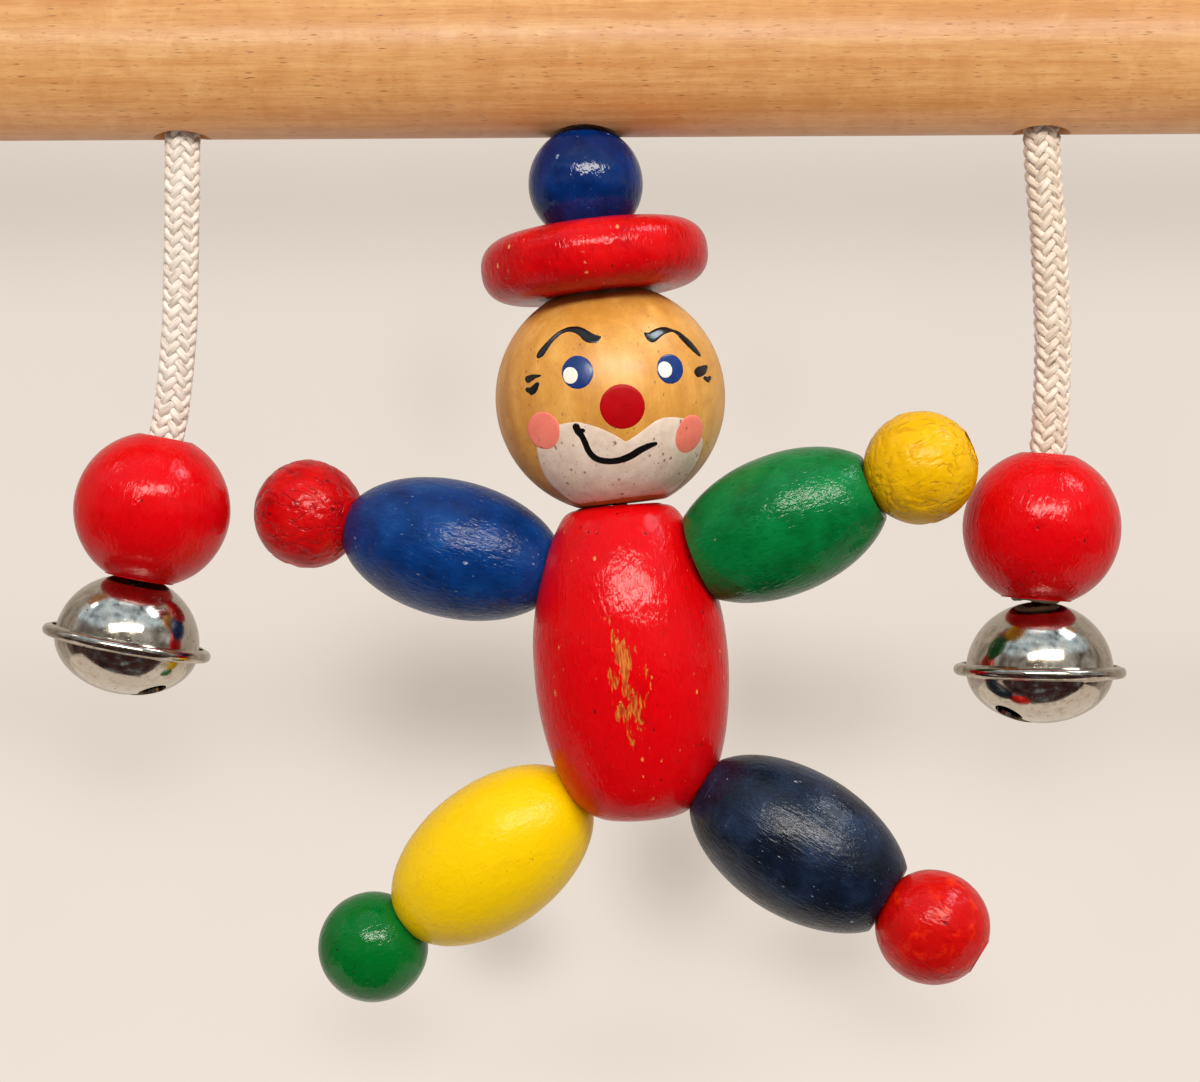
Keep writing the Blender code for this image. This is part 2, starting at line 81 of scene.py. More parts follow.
def perlin(p, seed=0):
    """Smooth noise, about -1 to 1, at points p (n x 3)."""
    p = np.asarray(p, float)
    cell = np.floor(p).astype(np.int64)
    f = p - cell
    u = f * f * f * (f * (f * 6 - 15) + 10)
    out = np.zeros(len(p))
    for dx in (0, 1):
        wx = u[:, 0] if dx else 1 - u[:, 0]
        for dy in (0, 1):
            wy = u[:, 1] if dy else 1 - u[:, 1]
            for dz in (0, 1):
                wz = u[:, 2] if dz else 1 - u[:, 2]
                h = _PERM[(cell[:, 0] + dx + 31 * seed) & 255]
                h = _PERM[(h + cell[:, 1] + dy) & 255]
                h = _PERM[(h + cell[:, 2] + dz) & 255]
                d = f - np.array((dx, dy, dz), float)
                out += wx * wy * wz * (_GRAD[h & 63] * d).sum(1)
    return out * 1.55


def fbm(p, octaves=3, seed=0, gain=0.5):
    out, a, total = 0.0, 1.0, 0.0
    for k in range(octaves):
        out = out + a * perlin(np.asarray(p) * 2.0**k + 17.3 * k, seed + k)
        total += a
        a *= gain
    return out / total


def smooth01(x):
    x = np.clip(x, 0, 1)
    return x * x * (3 - 2 * x)


def spline(keys, step):
    """Points every step along a smooth curve through the keys."""
    k = np.array(keys, float)
    ext = np.vstack([2 * k[0] - k[1], k, 2 * k[-1] - k[-2]])
    out = []
    for i in range(1, len(ext) - 2):
        p0, p1, p2, p3 = ext[i - 1 : i + 3]
        t = np.linspace(0, 1, 60, endpoint=False)[:, None]
        out.append(
            0.5
            * (
                2 * p1
                + (p2 - p0) * t
                + (2 * p0 - 5 * p1 + 4 * p2 - p3) * t**2
                + (3 * p1 - p0 - 3 * p2 + p3) * t**3
            )
        )
    out.append(k[-1:])
    return even(np.vstack(out), step)


def even(pts, step):
    s = np.concatenate([[0], np.cumsum(np.linalg.norm(np.diff(pts, axis=0), axis=1))])
    n = max(3, int(round(s[-1] / step)) + 1)
    u = np.linspace(0, s[-1], n)
    return np.stack([np.interp(u, s, pts[:, i]) for i in range(pts.shape[1])], 1)


def frames(path):
    """Tangent and two transported normals at each point of a path."""
    t = np.gradient(path, axis=0)
    t /= np.linalg.norm(t, axis=1)[:, None]
    n = np.cross(t[0], (1.0, 0.0, 0.0))
    if np.linalg.norm(n) < 0.2:
        n = np.cross(t[0], (0.0, 1.0, 0.0))
    ns = []
    for d in t:
        n = n - d * (n @ d)
        n = n / np.linalg.norm(n)
        ns.append(n)
    ns = np.array(ns)
    return t, ns, np.cross(t, ns)


# ------------------------------------------------------------------ meshes
def soften(points, sigma, step, closed=True, turn=9.0):
    """Rounds the corners of a profile and spaces its points by length and by bend."""
    p = np.array(points, float)
    if closed:
        p = np.vstack([p, p[:1]])
    q = even(p, 0.03)
    if closed:
        q = q[:-1]
    n = len(q)
    if sigma > 0:
        w = int(4 * sigma / 0.03) + 1
        k = np.exp(-0.5 * (np.arange(-w, w + 1) * 0.03 / sigma) ** 2)
        k /= k.sum()
        if closed:
            ext = np.vstack([q[-w:], q, q[:w]]) if w < n else q
        else:
            ext = np.vstack([2 * q[0] - q[w:0:-1], q, 2 * q[-1] - q[-2 : -w - 2 : -1]])
        q = np.stack([np.convolve(ext[:, i], k, "valid") for i in range(2)], 1)
    if closed:
        q = np.vstack([q, q[:1]])
    d = np.diff(q, axis=0)
    ds = np.linalg.norm(d, axis=1)
    a = np.unwrap(np.arctan2(d[:, 1], d[:, 0]))
    bend = np.abs(np.diff(a, append=a[-1:]))
    cost = np.concatenate([[0], np.cumsum(ds / step + bend / math.radians(turn))])
    m = max(8, int(math.ceil(cost[-1])))
    u = np.linspace(0, cost[-1], m + 1)
    r = np.stack([np.interp(u, cost, q[:, i]) for i in range(2)], 1)
    r = r[:-1] if closed else r
    kept = [r[0]]
    for x in r[1:]:
        if np.linalg.norm(x - kept[-1]) > 0.008:
            kept.append(x)
    if closed and np.linalg.norm(kept[-1] - kept[0]) < 0.008:
        kept.pop()
    return np.array(kept)


def ring_grid(profile, n, closed):
    """Revolves (radius, z) points about Z. Closed loops give a ring, open ones get poles."""
    prof = np.array(profile, float)
    ang = np.arange(n) * TAU / n
    m = len(prof)
    v = np.stack(
        [
            prof[:, 0][:, None] * np.cos(ang),
            prof[:, 0][:, None] * np.sin(ang),
            np.repeat(prof[:, 1][:, None], n, 1),
        ],
        2,
    ).reshape(-1, 3)
    rows = np.arange(m if closed else m - 1)
    i, j = np.meshgrid(rows, np.arange(n), indexing="ij")
    i2, j2 = (i + 1) % m, (j + 1) % n
    quads = np.stack([i * n + j, i2 * n + j, i2 * n + j2, i * n + j2], 2).reshape(-1, 4)
    faces = quads.tolist()
    if not closed:
        top, bottom = len(v), len(v) + 1
        v = np.vstack([v, [[0, 0, prof[0, 1]], [0, 0, prof[-1, 1]]]])
        for k in range(n):
            k2 = (k + 1) % n
            faces.append([top, k, k2])
            faces.append([bottom, (m - 1) * n + k2, (m - 1) * n + k])
    return v, faces


def volume(v, faces):
    total = 0.0
    for size in (3, 4):
        f = np.array([x for x in faces if len(x) == size])
        if len(f):
            for a, b in ((1, 2), (2, 3))[: size - 2]:
                total += np.einsum(
                    "ij,ij->i", v[f[:, 0]], np.cross(v[f[:, a]], v[f[:, b]])
                ).sum()
    return total / 6


def outward(v, faces):
    return [f[::-1] for f in faces] if volume(v, faces) < 0 else faces


def normals(v, faces):
    n = np.zeros_like(v)
    for size in (3, 4):
        f = np.array([x for x in faces if len(x) == size])
        if len(f):
            c = np.cross(v[f[:, 1]] - v[f[:, 0]], v[f[:, -1]] - v[f[:, 0]])
            for k in range(size):
                np.add.at(n, f[:, k], c)
    return n / np.maximum(np.linalg.norm(n, axis=1), 1e-12)[:, None]


def make(name, v, faces, material, matrix=None, uv=None, sharp=None):
    me = bpy.data.meshes.new(name)
    me.from_pydata((np.asarray(v) * MM).tolist(), [], [list(map(int, f)) for f in faces])
    me.update()
    if uv is not None:
        layer = me.uv_layers.new(name="Strand")
        layer.data.foreach_set("uv", np.asarray(uv, np.float32).ravel())
    me.polygons.foreach_set("use_smooth", [True] * len(me.polygons))
    if sharp:
        me.set_sharp_from_angle(angle=math.radians(sharp))
    o = bpy.data.objects.new(name, me)
    bpy.context.scene.collection.objects.link(o)
    me.materials.append(material)
    if matrix is not None:
        o.matrix_world = metres(matrix)
    return o


def metres(m):
    out = m.copy()
    out.translation = m.translation * MM
    return out


def turned(
    name, profile, material, matrix, n=128, step=0.4, sigma=0.18, closed=True, push=None, sharp=None
):
    """A turned piece; push(points, normals) gives how far each point moves outwards."""
    prof = soften(profile, sigma, step, closed) if sigma is not None else profile
    v, f = ring_grid(prof, n, closed)
    f = outward(v, f)
    if push is not None:
        nn = normals(v, f)
        v = v + nn * push(v, nn)[:, None]
    return make(name, v, f, material, matrix, sharp=sharp)


def sweep(path, ups, wide, thick, sides, power=1.0):
    """A closed strand: an oval section carried along a path, wide across, thick along ups."""
    t = np.gradient(path, axis=0)
    t /= np.linalg.norm(t, axis=1)[:, None]
    up = ups - t * (ups * t).sum(1)[:, None]
    up /= np.linalg.norm(up, axis=1)[:, None]
    side = np.cross(t, up)
    a = np.arange(sides) * TAU / sides
    ca = np.sign(np.cos(a)) * np.abs(np.cos(a)) ** power
    sa = np.sign(np.sin(a)) * np.abs(np.sin(a)) ** power
    wide = np.broadcast_to(wide, len(path))[:, None, None]
    thick = np.broadcast_to(thick, len(path))[:, None, None]
    v = (
        path[:, None]
        + side[:, None] * ca[None, :, None] * wide
        + up[:, None] * sa[None, :, None] * thick
    ).reshape(-1, 3)
    m = len(path)
    i, j = np.meshgrid(np.arange(m - 1), np.arange(sides), indexing="ij")
    j2 = (j + 1) % sides
    quads = np.stack(
        [i * sides + j, i * sides + j2, (i + 1) * sides + j2, (i + 1) * sides + j], 2
    ).reshape(-1, 4)
    s = np.concatenate([[0], np.cumsum(np.linalg.norm(np.diff(path, axis=0), axis=1))])
    uv = np.stack(
        [
            np.stack([s[i], j / sides], 2),
            np.stack([s[i], (j + 1) / sides], 2),
            np.stack([s[i + 1], (j + 1) / sides], 2),
            np.stack([s[i + 1], j / sides], 2),
        ],
        2,
    ).reshape(-1, 2)
    faces = quads.tolist()
    caps = [list(range(sides))[::-1], list(range((m - 1) * sides, m * sides))]
    uv = np.vstack([uv, np.zeros((2 * sides, 2))])
    faces += caps
    if volume(v, quads.tolist()) < 0:
        faces = [f[::-1] for f in faces]
        uv = np.vstack(
            [uv[: len(quads) * 4].reshape(-1, 4, 2)[:, ::-1].reshape(-1, 2), uv[len(quads) * 4 :]]
        )
    return v, faces, uv


def join_parts(parts):
    vs, fs, us, at = [], [], [], 0
    for k, (v, f, u) in enumerate(parts):
        vs.append(v)
        fs += [[x + at for x in g] for g in f]
        us.append(u + np.array((k * 7.31, 0.0)))
        at += len(v)
    return np.vstack(vs), fs, np.vstack(us)


def cut(obj, cutters):
    """Takes solids away from a mesh object and rounds nothing; the cutters go."""
    base = cutters[0]
    for v, f, m in [base] and cutters:
        c = make("cutter", v, outward(v, f), obj.data.materials[0], m)
        mod = obj.modifiers.new("cut", "BOOLEAN")
        mod.operation, mod.solver, mod.object = "DIFFERENCE", "EXACT", c
        bpy.context.view_layer.update()
        dg = bpy.context.evaluated_depsgraph_get()
        new = bpy.data.meshes.new_from_object(obj.evaluated_get(dg))
        obj.modifiers.clear()
        old = obj.data
        obj.data = new
        bpy.data.meshes.remove(old)
        cm = c.data
        bpy.data.objects.remove(c)
        bpy.data.meshes.remove(cm)
    while len(obj.data.materials) > 1:
        obj.data.materials.pop(index=len(obj.data.materials) - 1)
    me = obj.data
    me.polygons.foreach_set("material_index", [0] * len(me.polygons))
    me.polygons.foreach_set("use_smooth", [True] * len(me.polygons))
    me.set_sharp_from_angle(angle=math.radians(38))
    return obj


def plug(profile, n=64):
    """A turned solid cutter from (radius, z) points."""
    return ring_grid(np.array(profile, float), n, False)


def bind(obj, body, slot, *nodes):
    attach(obj, body)
    if nodes:
        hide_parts(*nodes)
    return obj


# ------------------------------------------------------------------ finishes
class Finish:
    """A small builder for node materials on one Principled shader."""

    def __init__(self, name, **sockets):
        self.m = bpy.data.materials.new(name)
        self.m.use_nodes = True
        self.t = self.m.node_tree
        self.t.nodes.clear()
        self.out = self.t.nodes.new("ShaderNodeOutputMaterial")
        self.s = self.t.nodes.new("ShaderNodeBsdfPrincipled")
        self.t.links.new(self.s.outputs[0], self.out.inputs[0])
        for k, x in sockets.items():
            self.s.inputs[k.replace("_", " ")].default_value = x
        self.coord = None

    def put(self, socket, x):
        if isinstance(x, bpy.types.NodeSocket):
            self.t.links.new(x, socket)
        else:
            socket.default_value = x

    def at(self, scale, shift=(0, 0, 0), turn=(0, 0, 0), uv=False):
        if self.coord is None:
            self.coord = self.t.nodes.new("ShaderNodeUVMap" if uv else "ShaderNodeTexCoord")
            if uv:
                self.coord.uv_map = "Strand"
        m = self.t.nodes.new("ShaderNodeMapping")
        self.t.links.new(self.coord.outputs["UV" if uv else "Object"], m.inputs["Vector"])
        m.inputs["Scale"].default_value = scale
        m.inputs["Location"].default_value = shift
        m.inputs["Rotation"].default_value = turn
        return m.outputs[0]

    def noise(self, vec, scale, detail=2.0, rough=0.5, bend=0.0):
        n = self.t.nodes.new("ShaderNodeTexNoise")
        self.t.links.new(vec, n.inputs["Vector"])
        n.inputs["Scale"].default_value = scale
        n.inputs["Detail"].default_value = detail
        n.inputs["Roughness"].default_value = rough
        n.inputs["Distortion"].default_value = bend
        return n.outputs[0]

    def cells(self, vec, scale, flat=False):
        n = self.t.nodes.new("ShaderNodeTexVoronoi")
        if flat:
            n.voronoi_dimensions = "2D"
        self.t.links.new(vec, n.inputs["Vector"])
        n.inputs["Scale"].default_value = scale
        s = self.t.nodes.new("ShaderNodeSeparateColor")
        self.t.links.new(n.outputs["Color"], s.inputs[0])
        return n.outputs["Distance"], s.outputs[0], s.outputs[1]

    def math(self, op, a, b=0.0, clamp=False):
        n = self.t.nodes.new("ShaderNodeMath")
        n.operation, n.use_clamp = op, clamp
        self.put(n.inputs[0], a)
        self.put(n.inputs[1], b)
        return n.outputs[0]

    def fit(self, x, a, b, c, d):
        n = self.t.nodes.new("ShaderNodeMapRange")
        self.put(n.inputs["Value"], x)
        for k, y in (("From Min", a), ("From Max", b), ("To Min", c), ("To Max", d)):
            self.put(n.inputs[k], y)
        return n.outputs[0]

    def mix(self, f, a, b):
        n = self.t.nodes.new("ShaderNodeMix")
        n.data_type = "RGBA"
        self.put(n.inputs[0], f)
        self.put(n.inputs[6], a)
        self.put(n.inputs[7], b)
        return n.outputs[2]

    def ramp(self, f, stops):
        n = self.t.nodes.new("ShaderNodeValToRGB")
        self.put(n.inputs[0], f)
        e = n.color_ramp.elements
        while len(e) > 1:
            e.remove(e[-1])
        e[0].position, e[0].color = stops[0]
        for p, c in stops[1:]:
            e.new(p).color = c
        return n.outputs[0]

    def axes(self, vec):
        n = self.t.nodes.new("ShaderNodeSeparateXYZ")
        self.t.links.new(vec, n.inputs[0])
        return n.outputs

    def bump(self, height, amount=0.001, coat=False):
        """height is in millimetres when amount is 0.001."""
        n = self.t.nodes.new("ShaderNodeBump")
        n.inputs["Strength"].default_value = 1.0
        n.inputs["Distance"].default_value = amount
        self.t.links.new(height, n.inputs["Height"])
        self.t.links.new(n.outputs[0], self.s.inputs["Normal"])
        if coat:
            self.t.links.new(n.outputs[0], self.s.inputs["Coat Normal"])

    def dots(self, vec, scale, share, size, soft=0.05, flat=False):
        """Scattered dots: share of the cells that hold one, and its size in cells."""
        d, r, _ = self.cells(vec, scale, flat)
        most = self.fit(r, 1 - share, 1.0, 0.0, size)
        return self.math(
            "MULTIPLY", self.math("SUBTRACT", most, d), 1.0 / soft, clamp=True
        )

    def unrolled(self, radius, stretch):
        """A round bar's skin laid flat: length along X, then the way round from the front."""
        x, y, z = self.axes(self.at((1000, 1000, 1000)))
        turn = self.math("ARCTAN2", z, self.math("MULTIPLY", y, -1.0))
        n = self.t.nodes.new("ShaderNodeCombineXYZ")
        self.put(n.inputs[0], self.times(x, stretch))
        self.put(n.inputs[1], self.times(turn, radius))
        return n.outputs[0]

    def add(self, *terms):
        out = terms[0]
        for x in terms[1:]:
            out = self.math("ADD", out, x)
        return out

    def times(self, a, b):
        return self.math("MULTIPLY", a, b)

    def length(self, vec):
        n = self.t.nodes.new("ShaderNodeVectorMath")
        n.operation = "LENGTH"
        self.t.links.new(vec, n.inputs[0])
        return n.outputs["Value"]


def lacquer(
    name,
    colour,
    dark,
    light,
    rough,
    seed,
    worm=0.10,
    worm_size=1.3,
    grain=0.03,
    streaks=0.25,
    pits=0.35,
    pit_size=0.16,
    chips=0.12,
    scratches=0.25,
    coat=0.0,
    pit_colour=None,
    chip_colour=None,
    spec=0.5,
    blotch=None,
    wear=None,
    furrow=None,
    cloudy=1.0,
    flecks=0.0,
):
    """Aged lacquer over a turned bead; the grain runs along the bore, which is Z.
    worm and grain are the film's unevenness in millimetres."""
    f = Finish(name, Coat_Weight=coat, Coat_Roughness=0.06, Specular_IOR_Level=spec)
    sh = (seed * 13.7, seed * 7.3, seed * 3.1)
    q = f.at((1000, 1000, 1000), sh)
    g = f.at((1000, 1000, 150), sh)
    cloud = f.noise(q, 0.19, 3, 0.6)
    fibre = f.noise(g, 1.6, 3, 0.65)
    hair = f.noise(g, 4.2, 2, 0.6)
    worms = f.noise(f.at((1000, 1000, 430), sh), worm_size, 2, 0.5, 0.7)
    film = f.fit(f.noise(q, 0.3, 2), 0.35, 0.65, 0.45, 1.0)
    base = f.ramp(
        cloud,
        [(0.5 - 0.22 * cloudy, dark), (0.5, colour), (0.5 + 0.28 * cloudy, light)]
        if cloudy >= 1
        else [(0.18, dark), (0.42, colour), (0.62, colour), (0.85, light)],
    )
    base = f.mix(f.fit(fibre, 0.5, 0.78, 0.0, streaks), base, dark)
    base = f.mix(f.fit(hair, 0.6, 0.82, 0.0, streaks), base, light)
    base = f.mix(f.fit(worms, 0.5, 0.25, 0.0, 0.35), base, dark)
    if blotch is not None:
        base = f.mix(f.fit(f.noise(q, 0.42, 4, 0.62), 0.54, 0.68, 0.0, 0.8), base, blotch)
    pit = f.dots(f.at((1000, 1000, 520), sh), 0.8, pits, pit_size)
    chip_shape = f.at((1000, 1000, 620), (sh[1], sh[2], sh[0]))
    chip = f.dots(chip_shape, 0.42, chips, 0.14, 0.03)
    chip = f.times(chip, f.fit(f.noise(q, 2.6, 2), 0.4, 0.55, 0.0, 1.0))
    line = f.at((900, 45, 900), sh, (0.5, 0.35, 0.9 + seed))
    line2 = f.at((45, 900, 900), sh, (0.2, 0.8, 0.3 + seed))
    scratch = f.math(
        "MAXIMUM",
        f.fit(f.noise(line, 1.7, 2, 0.5), 0.715, 0.75, 0.0, 1.0),
        f.fit(f.noise(line2, 1.5, 2, 0.5), 0.72, 0.75, 0.0, 1.0),
    )
    base = f.mix(f.times(scratch, scratches), base, light)
    base = f.mix(
        f.times(pit, 0.85), base, pit_colour or tuple(c * 0.22 for c in dark[:3]) + (1,)
    )
    base = f.mix(f.times(chip, 0.8), base, chip_colour or rgb(206, 160, 110))
    dust = f.dots(f.at((1000, 1000, 700), (sh[2], sh[0], sh[1])), 2.1, 0.6, 0.23, 0.08)
    base = f.mix(f.times(dust, 0.55), base, pit_colour or tuple(c * 0.3 for c in dark[:3]) + (1,))
    if flecks:
        fleck = f.dots(f.at((1000, 1000, 300), (sh[1] + 3.0, sh[2], sh[0])), 1.9, flecks, 0.20, 0.07)
        fleck = f.times(fleck, f.fit(f.noise(q, 0.35, 2), 0.42, 0.6, 0.15, 1.0))
        base = f.mix(f.times(fleck, 0.6), base, chip_colour or light)
    crease = 0.0
    if furrow is not None:
        tone, much, turn, size = furrow
        w = f.noise(f.at((1000, 1000, 260), sh, (turn, 0.0, 0.2)), size, 2, 0.5, 0.5)
        near = f.math("ABSOLUTE", f.math("SUBTRACT", w, 0.5))
        crease = f.fit(near, 0.004, 0.03, 1.0, 0.0)
        crease = f.times(crease, f.fit(f.noise(q, 0.33, 2), 0.42, 0.58, 0.1, 1.0))
        base = f.mix(f.times(crease, much), base, tone)
    rub = 0.0
    if wear is not None:
        c, size, tone, deep = wear
        near = f.length(
            f.at(tuple(1000.0 / x for x in size), tuple(-a / x for a, x in zip(c, size)))
        )
        torn = f.noise(f.at((1000, 1000, 300), sh), 0.85, 4, 0.62, 0.5)
        torn = f.add(torn, f.fit(near, 0.2, 1.1, 0.10, -0.22))
        rub = f.fit(torn, 0.545, 0.585, 0.0, 1.0)
        base = f.mix(f.times(rub, 0.85), base, f.mix(f.fit(hair, 0.4, 0.6, 0.0, 1.0), tone, deep))
    f.put(f.s.inputs["Base Color"], base)
    worn = f.fit(f.noise(q, 0.55, 4, 0.6), 0.3, 0.72, rough[0], rough[1])
    f.put(
        f.s.inputs["Roughness"],
        f.add(worn, f.times(pit, 0.25), f.times(scratch, 0.15), f.times(rub, 0.2) if wear else 0.0),
    )
    f.bump(
        f.add(
            f.times(f.times(worms, film), worm),
            f.times(fibre, grain),
            f.times(hair, grain * 0.5),
            f.times(pit, -0.045),
            f.times(chip, -0.035),
            f.times(scratch, -0.006),
            f.times(rub, -0.02) if wear else 0.0,
            f.times(crease, -0.07) if furrow else 0.0,
        ),
        coat=coat > 0,
    )
    return f.m


def wood(
    name,
    along,
    tones,
    pore,
    rough,
    seed,
    pores=0.5,
    end=None,
    figure=0.5,
    rim=None,
    hair=0.32,
    dashes=((1.15, 0.17, 0.19), (2.1, 0.11, 0.17)),
    mottle=0.0,
    depth=0.62,
    spec=0.5,
    skin=None,
):
    """Clear-lacquered wood, grain along the axis numbered along; tones from dark to light."""
    f = Finish(name, Specular_IOR_Level=spec)
    sh = (seed * 5.1, seed * 3.7, seed * 9.2)

    def stretched(k):
        s = [1000.0] * 3
        s[along] = 1000.0 * k
        return f.at(tuple(s), sh)

    q = f.at((1000, 1000, 1000), sh)
    broad = f.noise(stretched(0.045), 0.16, 3, 0.55, 0.4)
    band = f.noise(stretched(0.03), 0.75, 3, 0.6, 0.2)
    fibre = f.noise(stretched(0.07), 3.2, 3, 0.65)
    base = f.ramp(
        f.add(f.times(broad, 1.0 - figure), f.times(band, figure)),
        [(0.30, tones[0]), (0.48, tones[1]), (0.60, tones[2]), (0.74, tones[3])],
    )
    base = f.mix(f.fit(fibre, 0.45, 0.75, 0.0, hair), base, tones[0])
    if mottle:
        stain = f.noise(q, 0.24, 4, 0.62, 0.6)
        base = f.mix(f.fit(stain, 0.46, 0.66, 0.0, mottle), base, tones[0])
        base = f.mix(f.fit(stain, 0.42, 0.26, 0.0, mottle), base, tones[3])
    (s1, k1, r1), (s2, k2, r2) = dashes
    place1 = f.unrolled(skin, k1) if skin else stretched(k1)
    place2 = f.unrolled(skin, k2) if skin else stretched(k2)
    dash = f.dots(place1, s1, pores, r1, 0.10, bool(skin))
    dash2 = f.dots(place2, s2, pores * 0.9, r2, 0.10, bool(skin))
    flecks = f.math("MAXIMUM", dash, f.times(dash2, 0.6))
    flecks = f.times(flecks, f.fit(f.noise(q, 0.22, 3), 0.35, 0.65, 0.45, 1.0))
    thin = f.noise(stretched(0.035), 7.0, 2, 0.6)
    base = f.mix(f.fit(thin, 0.52, 0.72, 0.0, hair * 0.8), base, tones[0])
    base = f.mix(f.fit(thin, 0.46, 0.28, 0.0, hair * 0.6), base, tones[3])
    base = f.mix(f.times(flecks, depth), base, pore)
    if end is not None:
        x = f.math("ABSOLUTE", f.axes(f.at((1000, 1000, 1000)))[along])
        base = f.mix(f.fit(x, end[0], end[1], 0.0, 0.75), base, end[2])
    # painted shade: the wood darker towards both ends of its axis
    if rim is not None:
        z = f.math("ABSOLUTE", f.axes(f.at((1000, 1000, 1000)))[along])
        z = f.add(z, f.fit(f.noise(q, 0.5, 4, 0.65), 0.25, 0.75, -1.3, 1.3))
        base = f.mix(f.fit(z, rim[0], rim[1], 0.0, rim[2]), base, rim[3])
    f.put(f.s.inputs["Base Color"], base)
    f.put(
        f.s.inputs["Roughness"],
        f.fit(f.noise(q, 0.4, 4, 0.6), 0.3, 0.7, rough[0], rough[1]),
    )
    f.bump(
        f.add(
            f.times(fibre, 0.012),
            f.times(flecks, -0.018),
            f.times(f.noise(q, 0.8, 2), 0.008),
        )
    )
    return f.m


def paint(
    name, colour, dark, rough, seed, specks=0.25, speck_colour=None, peel=0.006, spec=0.4, size=0.2
):
    """A thin brushed dab of paint on the head."""
    f = Finish(name, Specular_IOR_Level=spec)
    sh = (seed * 3.3, seed * 8.1, seed * 5.7)
    q = f.at((1000, 1000, 1000), sh)
    g = f.at((1000, 1000, 230), sh)
    base = f.mix(f.fit(f.noise(q, 0.5, 4, 0.6), 0.35, 0.7, 0.0, 0.8), colour, dark)
    dot = f.dots(f.at((1000, 1000, 620), sh), 1.15, specks, size, 0.06)
    dot = f.math("MAXIMUM", dot, f.times(f.dots(f.at((1000, 1000, 800), sh), 2.4, specks * 0.8, size, 0.08), 0.7))
    base = f.mix(f.times(dot, 0.75), base, speck_colour or rgb(96, 60, 38))
    f.put(f.s.inputs["Base Color"], base)
    f.put(
        f.s.inputs["Roughness"], f.fit(f.noise(q, 0.9, 3), 0.3, 0.7, rough[0], rough[1])
    )
    f.bump(
        f.add(
            f.times(f.noise(g, 2.0, 3, 0.6), peel * 2),
            f.times(f.noise(q, 0.8, 2), peel * 2),
            f.times(dot, -0.02),
        )
    )
    return f.m


def textile(name, tones, filament, seed, bump=0.03, sheen=0.25):
    """Yarn: fine filaments along each strand, from the strand's own length and turn."""
    f = Finish(name, Sheen_Weight=sheen, Sheen_Roughness=0.5, Specular_IOR_Level=0.25)
    long = f.at((0.55, filament, 1.0), (seed * 1.7, seed * 0.9, 0.0), (0, 0, 0.0), uv=True)
    lump = f.at((0.5, 2.0, 1.0), (seed, seed, 0), uv=True)
    thread = f.noise(long, 1.0, 3, 0.6)
    cloud = f.noise(lump, 0.8, 3, 0.6)
    base = f.ramp(
        f.add(f.times(thread, 0.6), f.times(cloud, 0.4)),
        [(0.33, tones[0]), (0.5, tones[1]), (0.66, tones[2])],
    )
    f.put(f.s.inputs["Base Color"], base)
    f.put(f.s.inputs["Roughness"], f.fit(thread, 0.2, 0.8, 0.72, 0.95))
    f.bump(f.times(thread, bump))
    return f.m


def nickel(name, seed):
    f = Finish(name, Metallic=1.0)
    q = f.at((1000, 1000, 1000), (seed * 4.4, seed * 2.6, seed * 7.7))
    spot = f.dots(q, 0.75, 0.6, 0.17, 0.05)
    spot2 = f.dots(f.at((1000, 1000, 1000), (seed * 1.4, 5.0, 2.0)), 1.7, 0.5, 0.17, 0.06)
    grime = f.fit(f.noise(q, 0.7, 5, 0.7), 0.47, 0.68, 0.0, 1.0)
    line = f.at((1000, 60, 700), (seed, 0, 0), (0.4, 0.2, 0.7))
    line2 = f.at((70, 900, 800), (0, seed, 0), (0.1, 0.9, 0.2))
    scratch = f.math(
        "MAXIMUM",
        f.fit(f.noise(line, 2.2, 2), 0.66, 0.72, 0.0, 1.0),
        f.fit(f.noise(line2, 2.4, 2), 0.67, 0.72, 0.0, 1.0),
    )
    z = f.axes(f.at((1000, 1000, 1000)))[2]
    low = f.fit(z, -2.6, -0.7, 0.0, 1.0)
    high = f.fit(z, 0.7, 2.4, 1.0, 0.0)
    seam = f.times(low, high)
    base = f.mix(
        f.noise(q, 0.35, 3), rgb(182, 172, 156), rgb(208, 201, 190)
    )
    base = f.mix(f.times(grime, 0.5), base, rgb(132, 108, 80))
    base = f.mix(f.times(f.times(seam, f.fit(f.noise(q, 0.9, 4, 0.65), 0.35, 0.65, 0.0, 1.0)), 0.55), base, rgb(120, 96, 70))
    dark = f.math("MAXIMUM", spot, spot2)
    base = f.mix(f.times(dark, 0.75), base, rgb(66, 50, 36))
    f.put(f.s.inputs["Base Color"], base)
    f.put(
        f.s.inputs["Roughness"],
        f.add(
            f.fit(f.noise(q, 0.5, 4, 0.6), 0.3, 0.75, 0.07, 0.17),
            f.times(dark, 0.4),
            f.times(scratch, 0.12),
            f.times(grime, 0.08),
        ),
    )
    f.bump(
        f.add(
            f.times(f.noise(q, 0.16, 2), 0.10),
            f.times(f.noise(q, 0.8, 2), 0.006),
            f.times(dark, -0.012),
            f.times(scratch, -0.002),
        )
    )
    return f.m


def steel(name):
    f = Finish(name, Metallic=1.0)
    q = f.at((1000, 1000, 1000))
    rust = f.fit(f.noise(q, 1.1, 4, 0.65), 0.5, 0.7, 0.0, 1.0)
    f.put(f.s.inputs["Base Color"], f.mix(rust, rgb(150, 146, 140), rgb(104, 78, 58)))
    f.put(f.s.inputs["Roughness"], f.fit(rust, 0.0, 1.0, 0.28, 0.6))
    f.bump(f.times(f.noise(q, 2.0, 3), 0.02))
    return f.m


